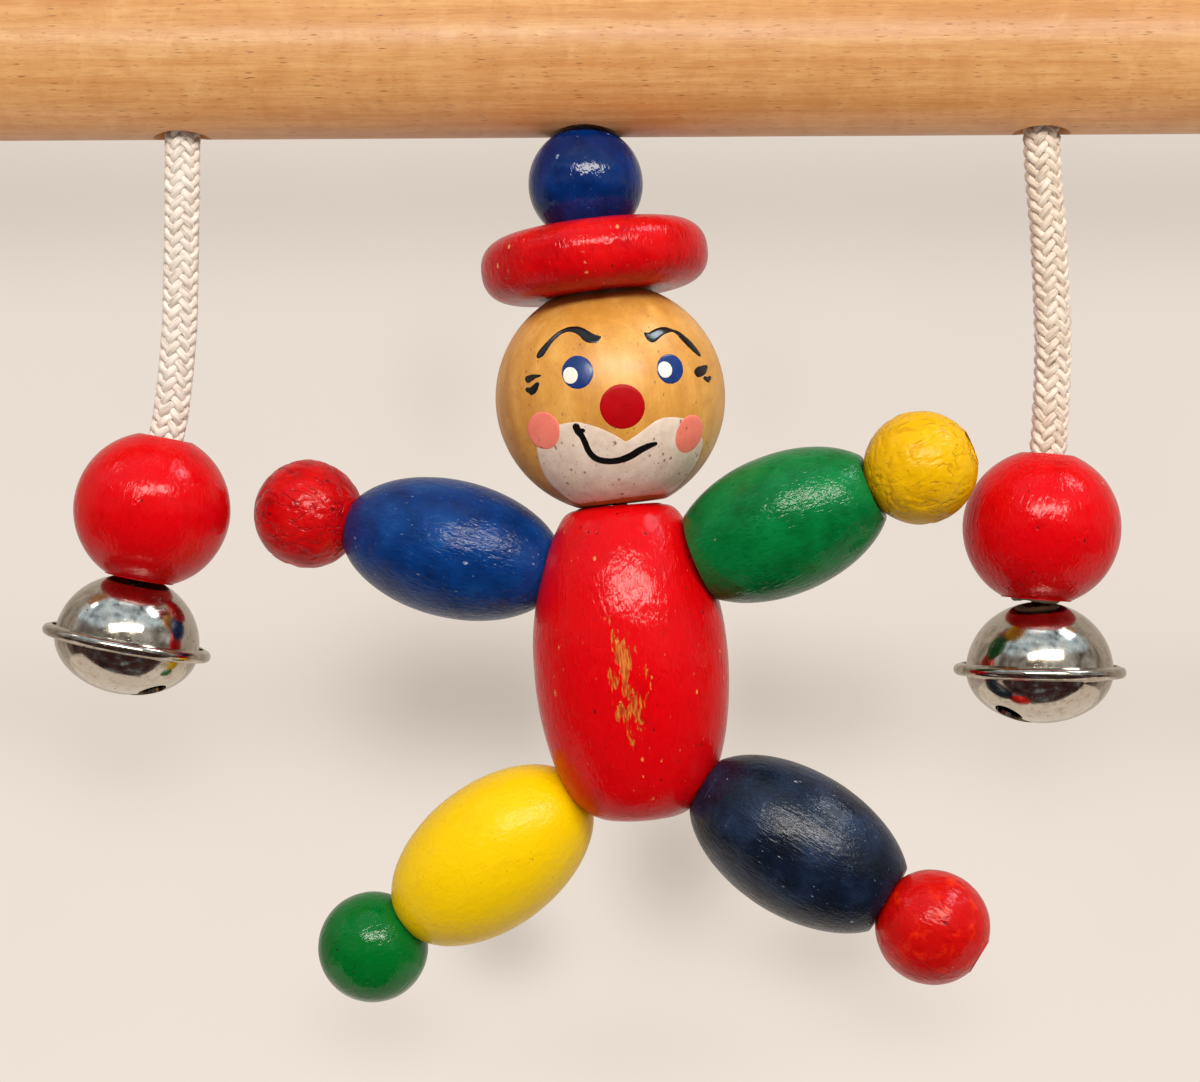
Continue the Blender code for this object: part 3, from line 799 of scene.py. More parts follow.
BEECH = wood(
    "beech",
    0,
    (rgb(193, 126, 66), rgb(214, 153, 92), rgb(226, 170, 110), rgb(238, 190, 134)),
    rgb(128, 74, 32),
    (0.30, 0.42),
    1,
    pores=0.85,
    end=(123.4, 124.8, rgb(172, 116, 70)),
    figure=0.42,
    hair=0.42,
    dashes=((1.35, 0.17, 0.17), (2.4, 0.22, 0.20)),
    mottle=0.34,
    depth=0.72,
    spec=0.42,
    skin=12.0,
)
HEAD_WOOD = wood(
    "head_wood",
    2,
    (rgb(184, 121, 43), rgb(212, 152, 64), rgb(222, 167, 84), rgb(233, 187, 114)),
    rgb(96, 58, 24),
    (0.34, 0.48),
    2,
    pores=0.98,
    figure=0.16,
    # rim: painted shade towards the head's top and bottom
    rim=(9.6, 14.4, 0.66, rgb(126, 84, 38)),
    hair=0.26,
    dashes=((1.2, 0.5, 0.22), (2.2, 0.4, 0.27)),
    mottle=0.5,
    depth=0.75,
    spec=0.5,
)
RED = dict(colour=rgb(207, 4, 11), dark=rgb(180, 2, 8), light=rgb(221, 16, 16), spec=0.17)
CROWN = lacquer("crown_blue", rgb(2, 37, 98), rgb(1, 26, 74), rgb(9, 55, 130), (0.07, 0.13), 3, worm=0.13, worm_size=1.7, grain=0.008, pits=0.2, chips=0.9, chip_colour=rgb(140, 168, 200), spec=0.3, flecks=0.5)
BRIM = lacquer("brim_red", **dict(RED, colour=rgb(196, 4, 10), dark=rgb(166, 2, 8), light=rgb(213, 16, 15)), rough=(0.10, 0.18), seed=4, worm=0.19, worm_size=1.6, grain=0.05, pits=0.5, chips=0.9, chip_colour=rgb(232, 160, 100), flecks=0.45)
LEFT_ARM = lacquer("arm_blue", rgb(4, 52, 118), rgb(2, 36, 90), rgb(18, 74, 142), (0.14, 0.24), 6, worm=0.17, worm_size=1.6, grain=0.07, streaks=0.4, pits=0.4, chips=0.9, chip_colour=rgb(150, 166, 186), spec=0.24, flecks=0.5)
LEFT_HAND = lacquer("hand_red", rgb(196, 6, 12), rgb(150, 3, 8), rgb(214, 20, 18), (0.16, 0.28), 7, worm=0.1, worm_size=1.3, grain=0.03, pits=0.9, pit_size=0.21, chips=0.2, spec=0.18, furrow=(rgb(90, 2, 6), 0.55, 0.9, 0.62))
RIGHT_ARM = lacquer("arm_green", rgb(2, 108, 50), rgb(1, 86, 35), rgb(8, 124, 60), (0.09, 0.16), 8, worm=0.17, worm_size=1.6, grain=0.035, pits=0.6, chips=0.3, spec=0.22, flecks=0.2)
RIGHT_HAND = lacquer("hand_yellow", rgb(219, 169, 0), rgb(202, 143, 0), rgb(230, 185, 4), (0.22, 0.36), 9, worm=0.13, worm_size=1.4, grain=0.03, pits=0.35, pit_size=0.17, chips=0.1, pit_colour=rgb(120, 72, 20), spec=0.16, cloudy=0.8, furrow=(rgb(172, 114, 8), 0.45, 1.0, 0.5))
LEFT_LEG = lacquer("leg_yellow", rgb(241, 200, 1), rgb(233, 188, 1), rgb(245, 207, 5), (0.20, 0.32), 10, worm=0.12, worm_size=1.5, grain=0.05, streaks=0.15, pits=0.8, pit_size=0.10, chips=0.0, pit_colour=rgb(176, 126, 24), spec=0.16, cloudy=0.6)
LEFT_FOOT = lacquer("foot_green", rgb(0, 104, 36), rgb(0, 84, 26), rgb(3, 118, 43), (0.07, 0.13), 11, worm=0.12, worm_size=1.7, grain=0.015, pits=0.6, chips=0.2, spec=0.26, cloudy=0.8)
RIGHT_LEG = lacquer("leg_navy", rgb(12, 25, 46), rgb(6, 12, 24), rgb(32, 50, 78), (0.20, 0.32), 12, worm=0.11, worm_size=1.6, grain=0.085, streaks=0.5, pits=0.3, chips=0.7, chip_colour=rgb(176, 184, 194), scratches=0.8, spec=0.3, flecks=0.4)
RIGHT_FOOT = lacquer("foot_red", rgb(191, 9, 7), rgb(168, 5, 6), rgb(211, 27, 9), (0.14, 0.24), 13, worm=0.16, worm_size=1.4, pits=0.7, pit_size=0.18, chips=0.2, blotch=rgb(228, 44, 8), spec=0.18, cloudy=0.8)
LEFT_BEAD = lacquer("bead_red_left", **RED, rough=(0.10, 0.18), seed=14, worm=0.16, worm_size=1.6, grain=0.02, pits=0.5, chips=0.3, cloudy=0.8, flecks=0.15)
RIGHT_BEAD = lacquer("bead_red_right", **RED, rough=(0.10, 0.18), seed=15, worm=0.17, worm_size=1.6, grain=0.02, pits=0.6, chips=0.4, cloudy=0.8, flecks=0.2)
TORSO = lacquer("torso_red", **RED, rough=(0.09, 0.17), seed=5, worm=0.145, worm_size=1.6, grain=0.03, pits=0.8, chips=0.9, chip_colour=rgb(230, 150, 76), cloudy=0.7, wear=((2.0, -12.4, -1.2), (4.2, 8.0, 12.5), rgb(206, 128, 48), rgb(160, 54, 18)), flecks=0.25)
CORD = textile("cord_left", (rgb(180, 164, 150), rgb(224, 214, 204), rgb(246, 241, 236)), 9.0, 1, bump=0.09)
CORD_R = textile("cord_right", (rgb(168, 148, 130), rgb(218, 202, 186), rgb(244, 235, 226)), 9.0, 4, bump=0.09)
# painted shade: the core's yarn is dark brown, so the gaps between the braid's strands show as shade
CORD_SHADED_CORE = textile("cord_shaded_core", (rgb(104, 80, 62), rgb(132, 106, 86), rgb(160, 134, 112)), 9.0, 2)
ELASTIC = textile("elastic", (rgb(150, 146, 140), rgb(196, 192, 184), rgb(226, 222, 214)), 7.0, 3, bump=0.05)
NICKEL_L = nickel("nickel_left", 1)
NICKEL_R = nickel("nickel_right", 2)
STEEL = steel("steel")
BLACK = paint("paint_black", rgb(10, 9, 9), rgb(18, 16, 15), (0.12, 0.22), 1, 0.1, rgb(60, 50, 44))
WHITE = paint("paint_white", rgb(233, 215, 200), rgb(206, 182, 164), (0.28, 0.42), 2, 0.8, rgb(122, 76, 50), peel=0.02, size=0.29)
EYE_WHITE = paint("paint_eye_white", rgb(240, 232, 222), rgb(228, 216, 204), (0.25, 0.4), 3, 0.12, rgb(190, 160, 130))
EYE_BLUE = paint("paint_blue", rgb(16, 50, 116), rgb(12, 40, 96), (0.18, 0.30), 4, 0.2, rgb(60, 90, 150))
NOSE = paint("paint_nose", rgb(172, 0, 10), rgb(158, 0, 8), (0.30, 0.42), 5, 0.3, rgb(140, 2, 10), spec=0.12)
CHEEK = paint("paint_cheek", rgb(241, 132, 114), rgb(230, 116, 100), (0.32, 0.46), 6, 0.8, rgb(150, 64, 52), spec=0.3, size=0.25)

# ------------------------------------------------------------------ places
RY = lambda deg: Matrix.Rotation(math.radians(deg), 4, "Y")
T = lambda *p: Matrix.Translation(Vector(p if len(p) == 3 else p[0]))
DOWN = Vector((math.sin(math.radians(6.6)), 0, -math.cos(math.radians(6.6))))
STACK = RY(-6.6)
CROWN_C = Vector((0, 0, -18.42))
BRIM_C = CROWN_C + DOWN * 10.56
HEAD_C = CROWN_C + DOWN * 29.11
TORSO_M = T(6.14, 0, -83.10) @ RY(-4.24) @ Matrix.Rotation(math.radians(-12), 4, "Z")


def arc_profile(fn, z0, z1, n):
    return [(fn(z), z) for z in np.linspace(z0, z1, n)]


def sphere_profile(R, top, bottom, bore, top_sink=0.5, bottom_sink=0.5):
    """Outside from top to bottom, then the bore back up; the bore's ends are eased."""
    a0, a1 = math.asin(top / R), math.asin(bottom / R)
    out = [(R * math.cos(a), R * math.sin(a)) for a in np.linspace(a0, a1, 90)]
    out += [(bore + bottom_sink, bottom), (bore, bottom + bottom_sink)]
    out += [(bore, top - top_sink), (bore + top_sink, top)]
    return out


def form(amount, scale, seed, bore=3.0, wrinkle=None):
    """Slight unevenness of a hand-turned bead; wrinkle adds furrows in the paint."""

    def push(v, n):
        r = np.hypot(v[:, 0], v[:, 1])
        keep = smooth01((r - bore) / 1.2)
        d = amount * fbm(v / scale, 2, seed)
        if wrinkle:
            for depth, size, stretch, turn in wrinkle:
                c, s = math.cos(turn), math.sin(turn)
                w = v @ np.array([[1, 0, 0], [0, c, -s], [0, s, c]]).T
                w = w / np.array([size, size, size * stretch])
                w = w + 0.35 * np.stack([perlin(w * 0.7 + k * 9.1, seed + 20 + k) for k in range(3)], 1)
                ridge = np.abs(perlin(w, seed + 5))
                d = d - depth * (1 - smooth01(ridge / 0.35)) * smooth01(
                    0.5 + 1.5 * perlin(v / (size * 2.2), seed + 9)
                )
        return d * keep

    return push


# ------------------------------------------------------------------ cords
LAY = 13.2


def braid(path, name, radius=1.58, swell=0.44, lay=LAY, wide=0.53, thick=0.52, sides=12):
    """Sixteen yarns, eight each way round, each over two and under two."""
    t, n, b = frames(path)
    s = np.concatenate([[0], np.cumsum(np.linalg.norm(np.diff(path, axis=0), axis=1))])
    parts = []
    rng = np.random.default_rng(len(path))
    for hand in (1, -1):
        for k in range(8):
            th = TAU * k / 8 + hand * TAU * s / lay
            w = np.tanh(1.3 * np.cos(4 * (th - math.pi / 16))) / math.tanh(1.3)
            slack = 0.05 * perlin(np.stack([s / 3.1, s * 0 + k * 3.7, s * 0 + hand * 9.2], 1), 4)
            r = radius + swell * w * hand + slack
            out = n * np.cos(th)[:, None] + b * np.sin(th)[:, None]
            p = path + out * r[:, None]
            full = 1 + 0.05 * rng.normal() + 0.10 * w * hand
            parts.append(sweep(p, out, wide * full, thick, sides))
    return parts


def cord_path(side):
    if side == "left":
        keys = [(-54.85, 2.6), (-54.85, -4), (-54.85, -12.1), (-54.88, -18), (-54.95, -24.1), (-55.12, -32), (-55.32, -38.5)]
        c, lean = (-59.0, -62.39), math.radians(10.87)
    else:
        keys = [(61.28, 2.6), (61.28, -4), (61.28, -12.1), (61.62, -18.9), (62.15, -24.7), (62.58, -33.4), (62.80, -41.5)]
        c, lean = (61.3, -64.92), math.radians(4.5)
    keys += [(c[0] + math.sin(lean) * k, c[1] + math.cos(lean) * k) for k in (14.5, 9.5, 3.5, -2.4)]
    return spline([(x, 0.0, z) for x, z in keys], 0.4)


def knot_path(base, top, size, height, lead, step):
    """A tight overhand stopper: standing part up the middle, one turn, a short tail."""
    a, mid = size, (base + top) / 2
    u = np.linspace(0.30, TAU - 0.30, 40)
    x = a * (np.sin(u) + 2 * np.sin(2 * u)) / 3
    y = a * (np.cos(u) - 2 * np.cos(2 * u)) / 3
    z = mid - height * np.sin(3 * u)
    body = np.stack([x, y, z], 1)
    head = [(0, 0, lead), (0, 0, (lead + base) / 2), (0.0, -0.05 * a, base - 0.2)]
    tail = [(0.05 * a, 0.2 * a, top), (0.15 * a, 0.3 * a, top + 0.9)]
    return spline(np.vstack([head, body, tail]), step)


def twisted(path, radius, sides=14, wob=0.04):
    t, n, b = frames(path)
    s = np.arange(len(path), dtype=float)
    r = radius * (1 + wob * perlin(np.stack([s / 3.0, s * 0, s * 0 + radius], 1), 3))
    return sweep(path, n, r, r, sides)


for side in ("left", "right"):
    path = cord_path(side)
    v, f, uv = join_parts(braid(path, side))
    yarn = CORD if side == "left" else CORD_R
    cord = make(f"{side}_cord_braid", v, f, yarn, uv=uv)
    # the core inside the braid; its dark colour is painted shade seen through the gaps
    core = make(f"{side}_cord_shaded_core", *twisted(path[2:-2], 1.30)[:2], CORD_SHADED_CORE, uv=twisted(path[2:-2], 1.30)[2])
    x = path[0][0]
    for o in (cord, core):
        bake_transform(o)
    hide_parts(f"{side}_cord")
    kp = knot_path(4.6, 8.6, 3.0, 1.45, 2.0, 0.4)
    kp = kp + np.array((x, 0, 0))
    kv, kf, ku = join_parts(braid(kp, side + "k", 1.40, 0.36, LAY, 0.54, 0.46, 10))
    knot = make(f"{side}_cord_knot", kv, kf, yarn, uv=ku)
    # the knot's core, dark as painted shade between its strands
    kcore = make(f"{side}_cord_knot_core", *twisted(kp[1:-1], 1.25)[:2], CORD_SHADED_CORE, uv=twisted(kp[1:-1], 1.25)[2])
    bind(knot, "root", "cord", f"{side}_cord_anchor")
    bind(kcore, "root", "cord")
    length = float(np.linalg.norm(np.diff(path, axis=0), axis=1).sum()) * MM

# ------------------------------------------------------------------ bar
bar_prof = [(0.4, 125.0), (6.0, 125.0), (10.4, 125.0)]
bar_prof += [(10.4 + 1.6 * math.sin(a), 123.4 + 1.6 * math.cos(a)) for a in np.linspace(0.15, math.pi / 2, 9)]
half_bar = list(np.arange(122.4, 0.0, -1.0))
bar_prof += [(12.0, z) for z in half_bar]
bar_prof = bar_prof + [(r, -z) for r, z in bar_prof[::-1]]
v, f = ring_grid(bar_prof, 144, False)
v = v[:, [2, 0, 1]]
f = outward(v, f)
nn = normals(v, f)
v = v + nn * (0.02 * fbm(v / np.array((40.0, 6.0, 6.0)), 2, 41))[:, None]
bar = make("bar_turned", v, f, BEECH, Matrix.Identity(4))
hanger_hole = [(2.0, -8.9), (2.0, 5.4), (2.2, 5.9), (4.1, 5.95), (4.3, 6.2), (4.3, 11.2), (4.9, 12.4), (4.9, 14)]
hanger_hole = [(5.35, -14), (5.35, -12.75), (5.05, -12.35), (4.3, -9.6), (2.7, -7.0), (2.0, -6.1)] + hanger_hole[1:]
cord_hole = [(4.1, -14), (4.1, -12.2), (3.75, -11.6), (3.65, -11.0), (3.65, 2.4), (3.9, 2.9), (5.9, 2.95), (6.2, 3.3), (6.2, 9.2), (6.9, 10.6), (6.9, 14)]
cutters = []
for prof, x in ((hanger_hole, 0.0), (cord_hole, -54.85), (cord_hole, 61.28)):
    cv, cf = plug(prof, 72)
    cutters.append((cv, cf, T(x, 0, 0)))
cut(bar, cutters)
bind(bar, "root", "beech", "bar")

# ------------------------------------------------------------------ figure stack
crown = turned("crown_bead_turned", sphere_profile(7.75, 7.40, -7.40, 1.7), CROWN, T(CROWN_C) @ STACK, 132, 0.36, 0.16, push=form(0.03, 5.0, 1))
bind(crown, "crown", "blue", "crown_bead")

pts = []
for a in np.linspace(math.pi / 2, -math.pi / 2, 80):
    c, s = math.cos(a), math.sin(a)
    pts.append((9.6 + 5.8 * abs(c) ** (2 / 2.4), 4.65 * math.copysign(abs(s) ** (2 / 2.4), s)))
brim_prof = pts + [(7.35, -4.65), (6.0, -3.4), (5.0, -1.4), (5.0, 3.6), (5.55, 4.65)]
brim = turned("hat_brim_turned", brim_prof, BRIM, T(BRIM_C) @ STACK, 200, 0.4, 0.20, push=form(0.04, 6.0, 2, 6.5))
bind(brim, "brim", "red", "hat_brim")

HEAD_M = T(HEAD_C) @ STACK
head = turned("head_turned", sphere_profile(15.5, 15.0, -14.35, 2.4, 0.7, 0.7), HEAD_WOOD, HEAD_M, 216, 0.45, 0.25)
bind(head, "head", "head_wood", "head")


# ------------------------------------------------------------------ face
def aim(yaw, pitch):
    y, p = math.radians(yaw), math.radians(max(pitch, -63.0))
    return np.array((math.sin(y) * math.cos(p), -math.cos(y) * math.cos(p), math.sin(p)))


def unit(a):
    return a / np.linalg.norm(a, axis=-1, keepdims=True)


def ball_loop(points, n):
    """A smooth closed outline on the unit ball, n points evenly apart."""
    d = np.array([aim(*p[:2]) for p in points])
    m = len(d)
    t = np.linspace(0, m, 24 * m, endpoint=False)
    i = np.floor(t).astype(int)
    u = (t - i)[:, None]
    p0, p1, p2, p3 = (d[(i + k) % m] for k in (-1, 0, 1, 2))
    c = 0.5 * (
        2 * p1
        + (p2 - p0) * u
        + (2 * p0 - 5 * p1 + 4 * p2 - p3) * u**2
        + (3 * p1 - p0 - 3 * p2 + p3) * u**3
    )
    c = np.vstack([c, c[:1]])
    s = np.concatenate([[0], np.cumsum(np.linalg.norm(np.diff(c, axis=0), axis=1))])
    k = np.linspace(0, s[-1], n, endpoint=False)
    return unit(np.stack([np.interp(k, s, c[:, j]) for j in range(3)], 1))


def patch_solid(name, grid, height, material, wrap):
    """A thin closed skin on the head: grid (rows x cols of directions), heights per point."""
    R = 15.5
    m, n = grid.shape[:2]
    top = (grid * (R + height)[..., None]).reshape(-1, 3)
    low = (grid * (R - 0.25)).reshape(-1, 3)
    v = np.vstack([top, low])
    faces = []
    cols = n if wrap else n - 1
    for i in range(m - 1):
        for j in range(cols):
            a, b = i * n + j, i * n + (j + 1) % n
            c, d = (i + 1) * n + (j + 1) % n, (i + 1) * n + j
            faces.append([a, b, c, d])
            faces.append([x + m * n for x in (d, c, b, a)])
    if wrap:
        rim = [(j, (j + 1) % n) for j in range(n)]
        hub = [(m - 1) * n + j for j in range(n)]
        faces.append(hub)
        faces.append([x + m * n for x in hub[::-1]])
    else:
        loop = list(range(n)) + [i * n + n - 1 for i in range(1, m)]
        loop += [(m - 1) * n + j for j in range(n - 2, -1, -1)] + [i * n for i in range(m - 2, 0, -1)]
        rim = list(zip(loop, loop[1:] + loop[:1]))
    for a, b in rim:
        faces.append([b, a, a + m * n, b + m * n])
    f = outward(v, [q for q in faces])
    o = make(name, v, f, material, HEAD_M)
    bm = bmesh.new()
    bm.from_mesh(o.data)
    bmesh.ops.recalc_face_normals(bm, faces=bm.faces)
    bm.to_mesh(o.data)
    bm.free()
    bind(o, "head", "head_wood")
    return o


def dab(name, points, height, material, centre=None, rings=10, n=72, dome=0.0):
    loop = ball_loop(points, n)
    c = aim(*centre) if centre else unit(loop.mean(0))
    ks = np.array([0, 0.03, 0.08, 0.16, *np.linspace(0.26, 0.96, rings)])
    grid = unit(np.stack([(1 - k) * loop + k * c for k in ks]))
    h = np.stack([np.full(n, height * smooth01(k / 0.10) + dome * (1 - (1 - k) ** 2)) for k in ks])
    h[0] = -0.02
    return patch_solid(name, grid, h, material, True)


def ribbon(name, upper, lower, height, material, n=64, across=9):
    a = even(spline(np.array([aim(*p) for p in upper]), 0.01), 0.002)
    b = even(spline(np.array([aim(*p) for p in lower]), 0.01), 0.002)
    pick = lambda s: s[np.round(np.linspace(0, len(s) - 1, n)).astype(int)]
    a, b = pick(a), pick(b)
    ks = np.linspace(0, 1, across)
    grid = unit(np.stack([(1 - k) * a + k * b for k in ks]))
    edge = smooth01(np.minimum(ks, 1 - ks) / 0.22)[:, None]
    ends = smooth01(np.minimum(np.linspace(0, 1, n), np.linspace(1, 0, n)) / 0.03)[None]
    h = height * edge * ends - 0.02 * (1 - edge * ends)
    return patch_solid(name, grid, h, material, False)


MUZZLE = [(-26.5, -12.5), (-20.7, -12.1), (-15.4, -12.7), (-10.5, -14.5), (-5.7, -16.7), (-0.9, -19.5), (3.4, -22.5), (6.6, -24.9), (7.4, -25.3), (8.2, -25.0), (10.7, -23.7), (14.8, -21.5), (19.0, -19.0), (23.1, -16.6), (27.3, -15.2), (32.5, -15.1), (38.0, -15.8), (42.3, -17.0), (49.7, -21.1), (57.3, -26.0), (61.5, -30.1), (63.0, -35.0), (65.4, -40.9), (66.0, -48.0), (66.6, -54.2), (66.2, -61.3), (55.0, -66), (30.0, -66), (0.9, -66), (-33.0, -66), (-52.0, -64), (-57.5, -60.0), (-56.4, -55.5), (-55.2, -50.1), (-54.8, -43.6), (-52.6, -37.1), (-49.5, -31.1), (-46.9, -25.4), (-44.7, -21.5), (-40.7, -16.6), (-34.0, -13.4)]
dab("face_muzzle", MUZZLE, 0.05, WHITE, (5.0, -42.0), 16, 240)
dab("face_left_cheek", [(-25.9, -13.4), (-26.8, -18.4), (-30.4, -22.4), (-35.9, -24.5), (-41.7, -23.8), (-45.9, -20.7), (-47.3, -16.0), (-45.8, -11.1), (-41.9, -7.2), (-36.8, -5.4), (-31.6, -6.0), (-27.7, -8.9)], 0.075, CHEEK)
dab("face_right_cheek", [(56.8, -27.8), (54.2, -32.4), (49.0, -35.0), (42.8, -34.7), (37.7, -31.6), (35.3, -26.9), (35.8, -21.7), (38.8, -17.5), (43.5, -15.3), (48.7, -15.5), (53.3, -18.1), (56.3, -22.6)], 0.075, CHEEK)
dab("face_left_eye", [(-5.1, 10.0), (-6.6, 6.0), (-9.7, 3.4), (-13.7, 2.8), (-17.6, 4.4), (-20.4, 7.8), (-21.3, 12.1), (-20.1, 16.1), (-16.9, 18.9), (-12.7, 19.5), (-8.6, 17.8), (-5.8, 14.3)], 0.05, EYE_BLUE)
dab("face_left_eye_light", [(-12.8, 10.0), (-13.2, 7.8), (-14.5, 6.2), (-16.5, 5.6), (-18.6, 6.2), (-20.1, 7.8), (-20.7, 10.0), (-20.4, 12.1), (-19.2, 13.7), (-17.3, 14.3), (-15.1, 13.7), (-13.5, 12.1)], 0.085, EYE_WHITE)
dab("face_right_eye", [(41.9, 8.7), (40.8, 4.9), (38.0, 1.9), (34.1, 0.5), (30.3, 1.0), (27.4, 3.4), (26.2, 7.0), (27.1, 10.8), (29.8, 13.9), (33.8, 15.3), (37.9, 14.8), (40.9, 12.4)], 0.05, EYE_BLUE)
dab("face_right_eye_light", [(34.9, 8.5), (34.6, 6.3), (33.3, 4.5), (31.3, 3.5), (29.2, 3.6), (27.6, 4.8), (26.9, 6.8), (27.1, 9.0), (28.1, 10.8), (30.0, 11.8), (32.2, 11.7), (34.0, 10.5)], 0.085, EYE_WHITE)
dab("face_nose", [(18.2, -9.1), (16.3, -14.5), (11.8, -18.1), (5.8, -19.0), (0.2, -16.8), (-3.3, -12.3), (-4.1, -6.7), (-2.0, -1.5), (2.5, 2.0), (8.1, 2.8), (13.4, 0.8), (17.1, -3.6)], 0.08, NOSE)
dab("face_left_dab_upper", [(-44.2, 12.1), (-42.8, 13.1), (-39.0, 13.4), (-35.9, 13.0), (-33.1, 12.3), (-33.7, 11.6), (-36.3, 11.1), (-38.9, 10.1), (-41.2, 9.4), (-43.1, 10.0)], 0.05, BLACK, rings=5, n=48)
dab("face_left_dab_lower", [(-43.9, 6.5), (-43.1, 7.4), (-40.3, 7.2), (-38.0, 8.2), (-35.9, 9.2), (-34.2, 8.5), (-34.7, 6.9), (-35.9, 4.8), (-37.5, 3.7), (-39.7, 3.2), (-41.4, 4.4), (-43.2, 5.4)], 0.05, BLACK, rings=5, n=48)
dab("face_right_dab_upper", [(48.7, 6.0), (50.0, 7.2), (52.9, 8.3), (55.7, 8.6), (58.2, 9.0), (61.4, 8.9), (61.6, 8.0), (59.7, 6.1), (58.3, 4.8), (56.3, 3.9), (53.3, 3.0), (50.7, 2.9), (49.1, 4.1)], 0.05, BLACK, rings=5, n=48)
dab("face_right_dab_lower", [(55.1, 2.8), (56.7, 3.4), (58.9, 3.1), (61.6, 3.6), (62.7, 2.8), (61.6, 1.4), (59.0, 0.1), (56.8, 0.9), (55.4, 1.9)], 0.05, BLACK, rings=5, n=48)
ribbon(
    "face_left_brow",
    [(-37.5, 22.2), (-36.9, 24.5), (-34.4, 27.4), (-31.8, 29.6), (-28.8, 32.3), (-25.7, 34.4), (-22.5, 35.7), (-19.1, 36.5), (-15.6, 36.5), (-12.6, 36.0), (-9.3, 34.5), (-5.7, 32.0), (-2.8, 29.9), (1.0, 28.2)],
    [(-36.6, 21.0), (-35.1, 20.9), (-32.8, 21.6), (-31.3, 23.0), (-29.6, 25.6), (-27.9, 28.0), (-25.7, 30.3), (-22.7, 32.4), (-19.8, 33.1), (-16.9, 32.9), (-13.9, 31.5), (-11.5, 29.5), (-9.6, 27.1), (-7.8, 25.6), (-4.9, 24.8), (-2.0, 24.8), (-0.5, 26.1)],
    0.05,
    BLACK,
)
ribbon(
    "face_right_brow",
    [(24.2, 28.4), (25.8, 27.9), (27.7, 27.9), (30.2, 29.1), (33.7, 30.2), (37.4, 30.7), (40.8, 30.3), (44.0, 28.9), (47.5, 27.7), (49.8, 26.0), (52.1, 23.9), (54.3, 21.5), (56.3, 18.7), (57.6, 16.3), (58.3, 14.6), (57.4, 12.9)],
    [(24.2, 26.5), (24.4, 25.1), (24.9, 23.2), (26.4, 21.9), (28.5, 21.7), (30.8, 22.8), (33.4, 24.4), (36.6, 25.9), (40.2, 26.8), (42.6, 27.1), (44.6, 25.7), (45.8, 23.2), (47.6, 20.5), (49.9, 17.9), (52.6, 15.4), (55.6, 13.2)],
    0.05,
    BLACK,
)


def stroke(name, line, height, material, n=120):
    """A brush line: (yaw, pitch, half width in mm) along its middle."""
    mid = spline(np.array([aim(y, p) for y, p, _ in line]), 0.01)
    s = np.linspace(0, 1, n)
    at = np.linspace(0, 1, len(mid))
    m = unit(np.stack([np.interp(s, at, mid[:, i]) for i in range(3)], 1))
    key = np.array([aim(y, p) for y, p, _ in line])
    where = [np.argmin(np.linalg.norm(m - k, axis=1)) / (n - 1) for k in key]
    w = np.interp(s, where, [x[2] for x in line])
    total = np.linalg.norm(np.diff(m, axis=0), axis=1).sum() * 15.5
    for end, sign in ((s, 1), (1 - s, 1)):
        dist = end * total
        w = np.where(dist < w, np.sqrt(np.maximum(0.02, w**2 - (w - dist) ** 2)), w)
    w = w * (1 + 0.07 * perlin(np.stack([s * 17, s * 0, s * 0], 1), 7))
    t = unit(np.gradient(m, axis=0))
    side = np.cross(m, t)
    ks = np.linspace(-1, 1, 9)
    grid = unit(np.stack([m + side * (k * w / 15.5)[:, None] for k in ks]))
    edge = smooth01((1 - np.abs(ks)) / 0.4)[:, None]
    ends = smooth01(np.minimum(s, 1 - s) / 0.01)[None]
    h = height * edge * ends - 0.02 * (1 - edge * ends)
    return patch_solid(name, grid, h, material, False)


stroke("face_mouth", [(-17.6, -13.2, 0.55), (-17.3, -14.6, 0.66), (-16.7, -17.2, 0.60), (-15.3, -20.0, 0.54), (-14.4, -23.4, 0.52), (-13.7, -27.6, 0.54), (-12.1, -31.0, 0.58), (-9.0, -33.5, 0.60), (-4.0, -34.9, 0.60), (1.2, -35.2, 0.62), (5.8, -34.5, 0.66), (10.4, -33.0, 0.68), (14.8, -30.8, 0.66), (19.2, -29.2, 0.58), (22.5, -28.4, 0.44), (25.2, -28.1, 0.26)], 0.11, BLACK)
dab("face_mouth_spur", [(-15.2, -16.2), (-13.4, -16.3), (-12.8, -17.2), (-13.4, -18.1), (-15.2, -18.4)], 0.10, BLACK, rings=3, n=24)

# ------------------------------------------------------------------ torso
A, B, HALF = 25.27, 12.87, 21.10


def rounding(rho):
    lo, hi = 0.0, HALF
    for _ in range(60):
        u = (lo + hi) / 2
        r = B * math.sqrt(1 - (u / A) ** 2)
        b = math.atan((B / A) ** 2 * u / r)
        if u + rho * (1 - math.sin(b)) > HALF:
            hi = u
        else:
            lo = u
    return u, r, b


def torso_surface(u):
    rho = 7.0 if u > 0 else 2.7
    u0, r0, b0 = rounding(rho)
    if abs(u) <= u0:
        r = B * math.sqrt(1 - (u / A) ** 2)
        return r, math.atan((B / A) ** 2 * abs(u) / r)
    s = min(1.0, (abs(u) - u0 + rho * math.sin(b0)) / rho)
    b = math.asin(s)
    return r0 - rho * math.cos(b0) + rho * math.cos(b), b


fuller = lambda u: 0.30 * float(smooth01((u + 14) / 10)) * float(smooth01((20.5 - u) / 4.5))
torso_prof = [(torso_surface(u)[0] + fuller(u), -u) for u in np.linspace(-HALF, HALF, 240)]
torso_prof = [(5.6, 21.28)] + torso_prof
torso_prof += [(3.7, -21.1), (3.2, -20.6), (3.2, -17.6), (1.9, -17.3), (1.9, -15.2), (3.8, -14.9), (3.8, 20.7), (4.3, 21.3)]
torso = turned("torso_turned", torso_prof, TORSO, TORSO_M, 188, 0.42, 0.22, push=form(0.05, 5.0, 3, 5.0))

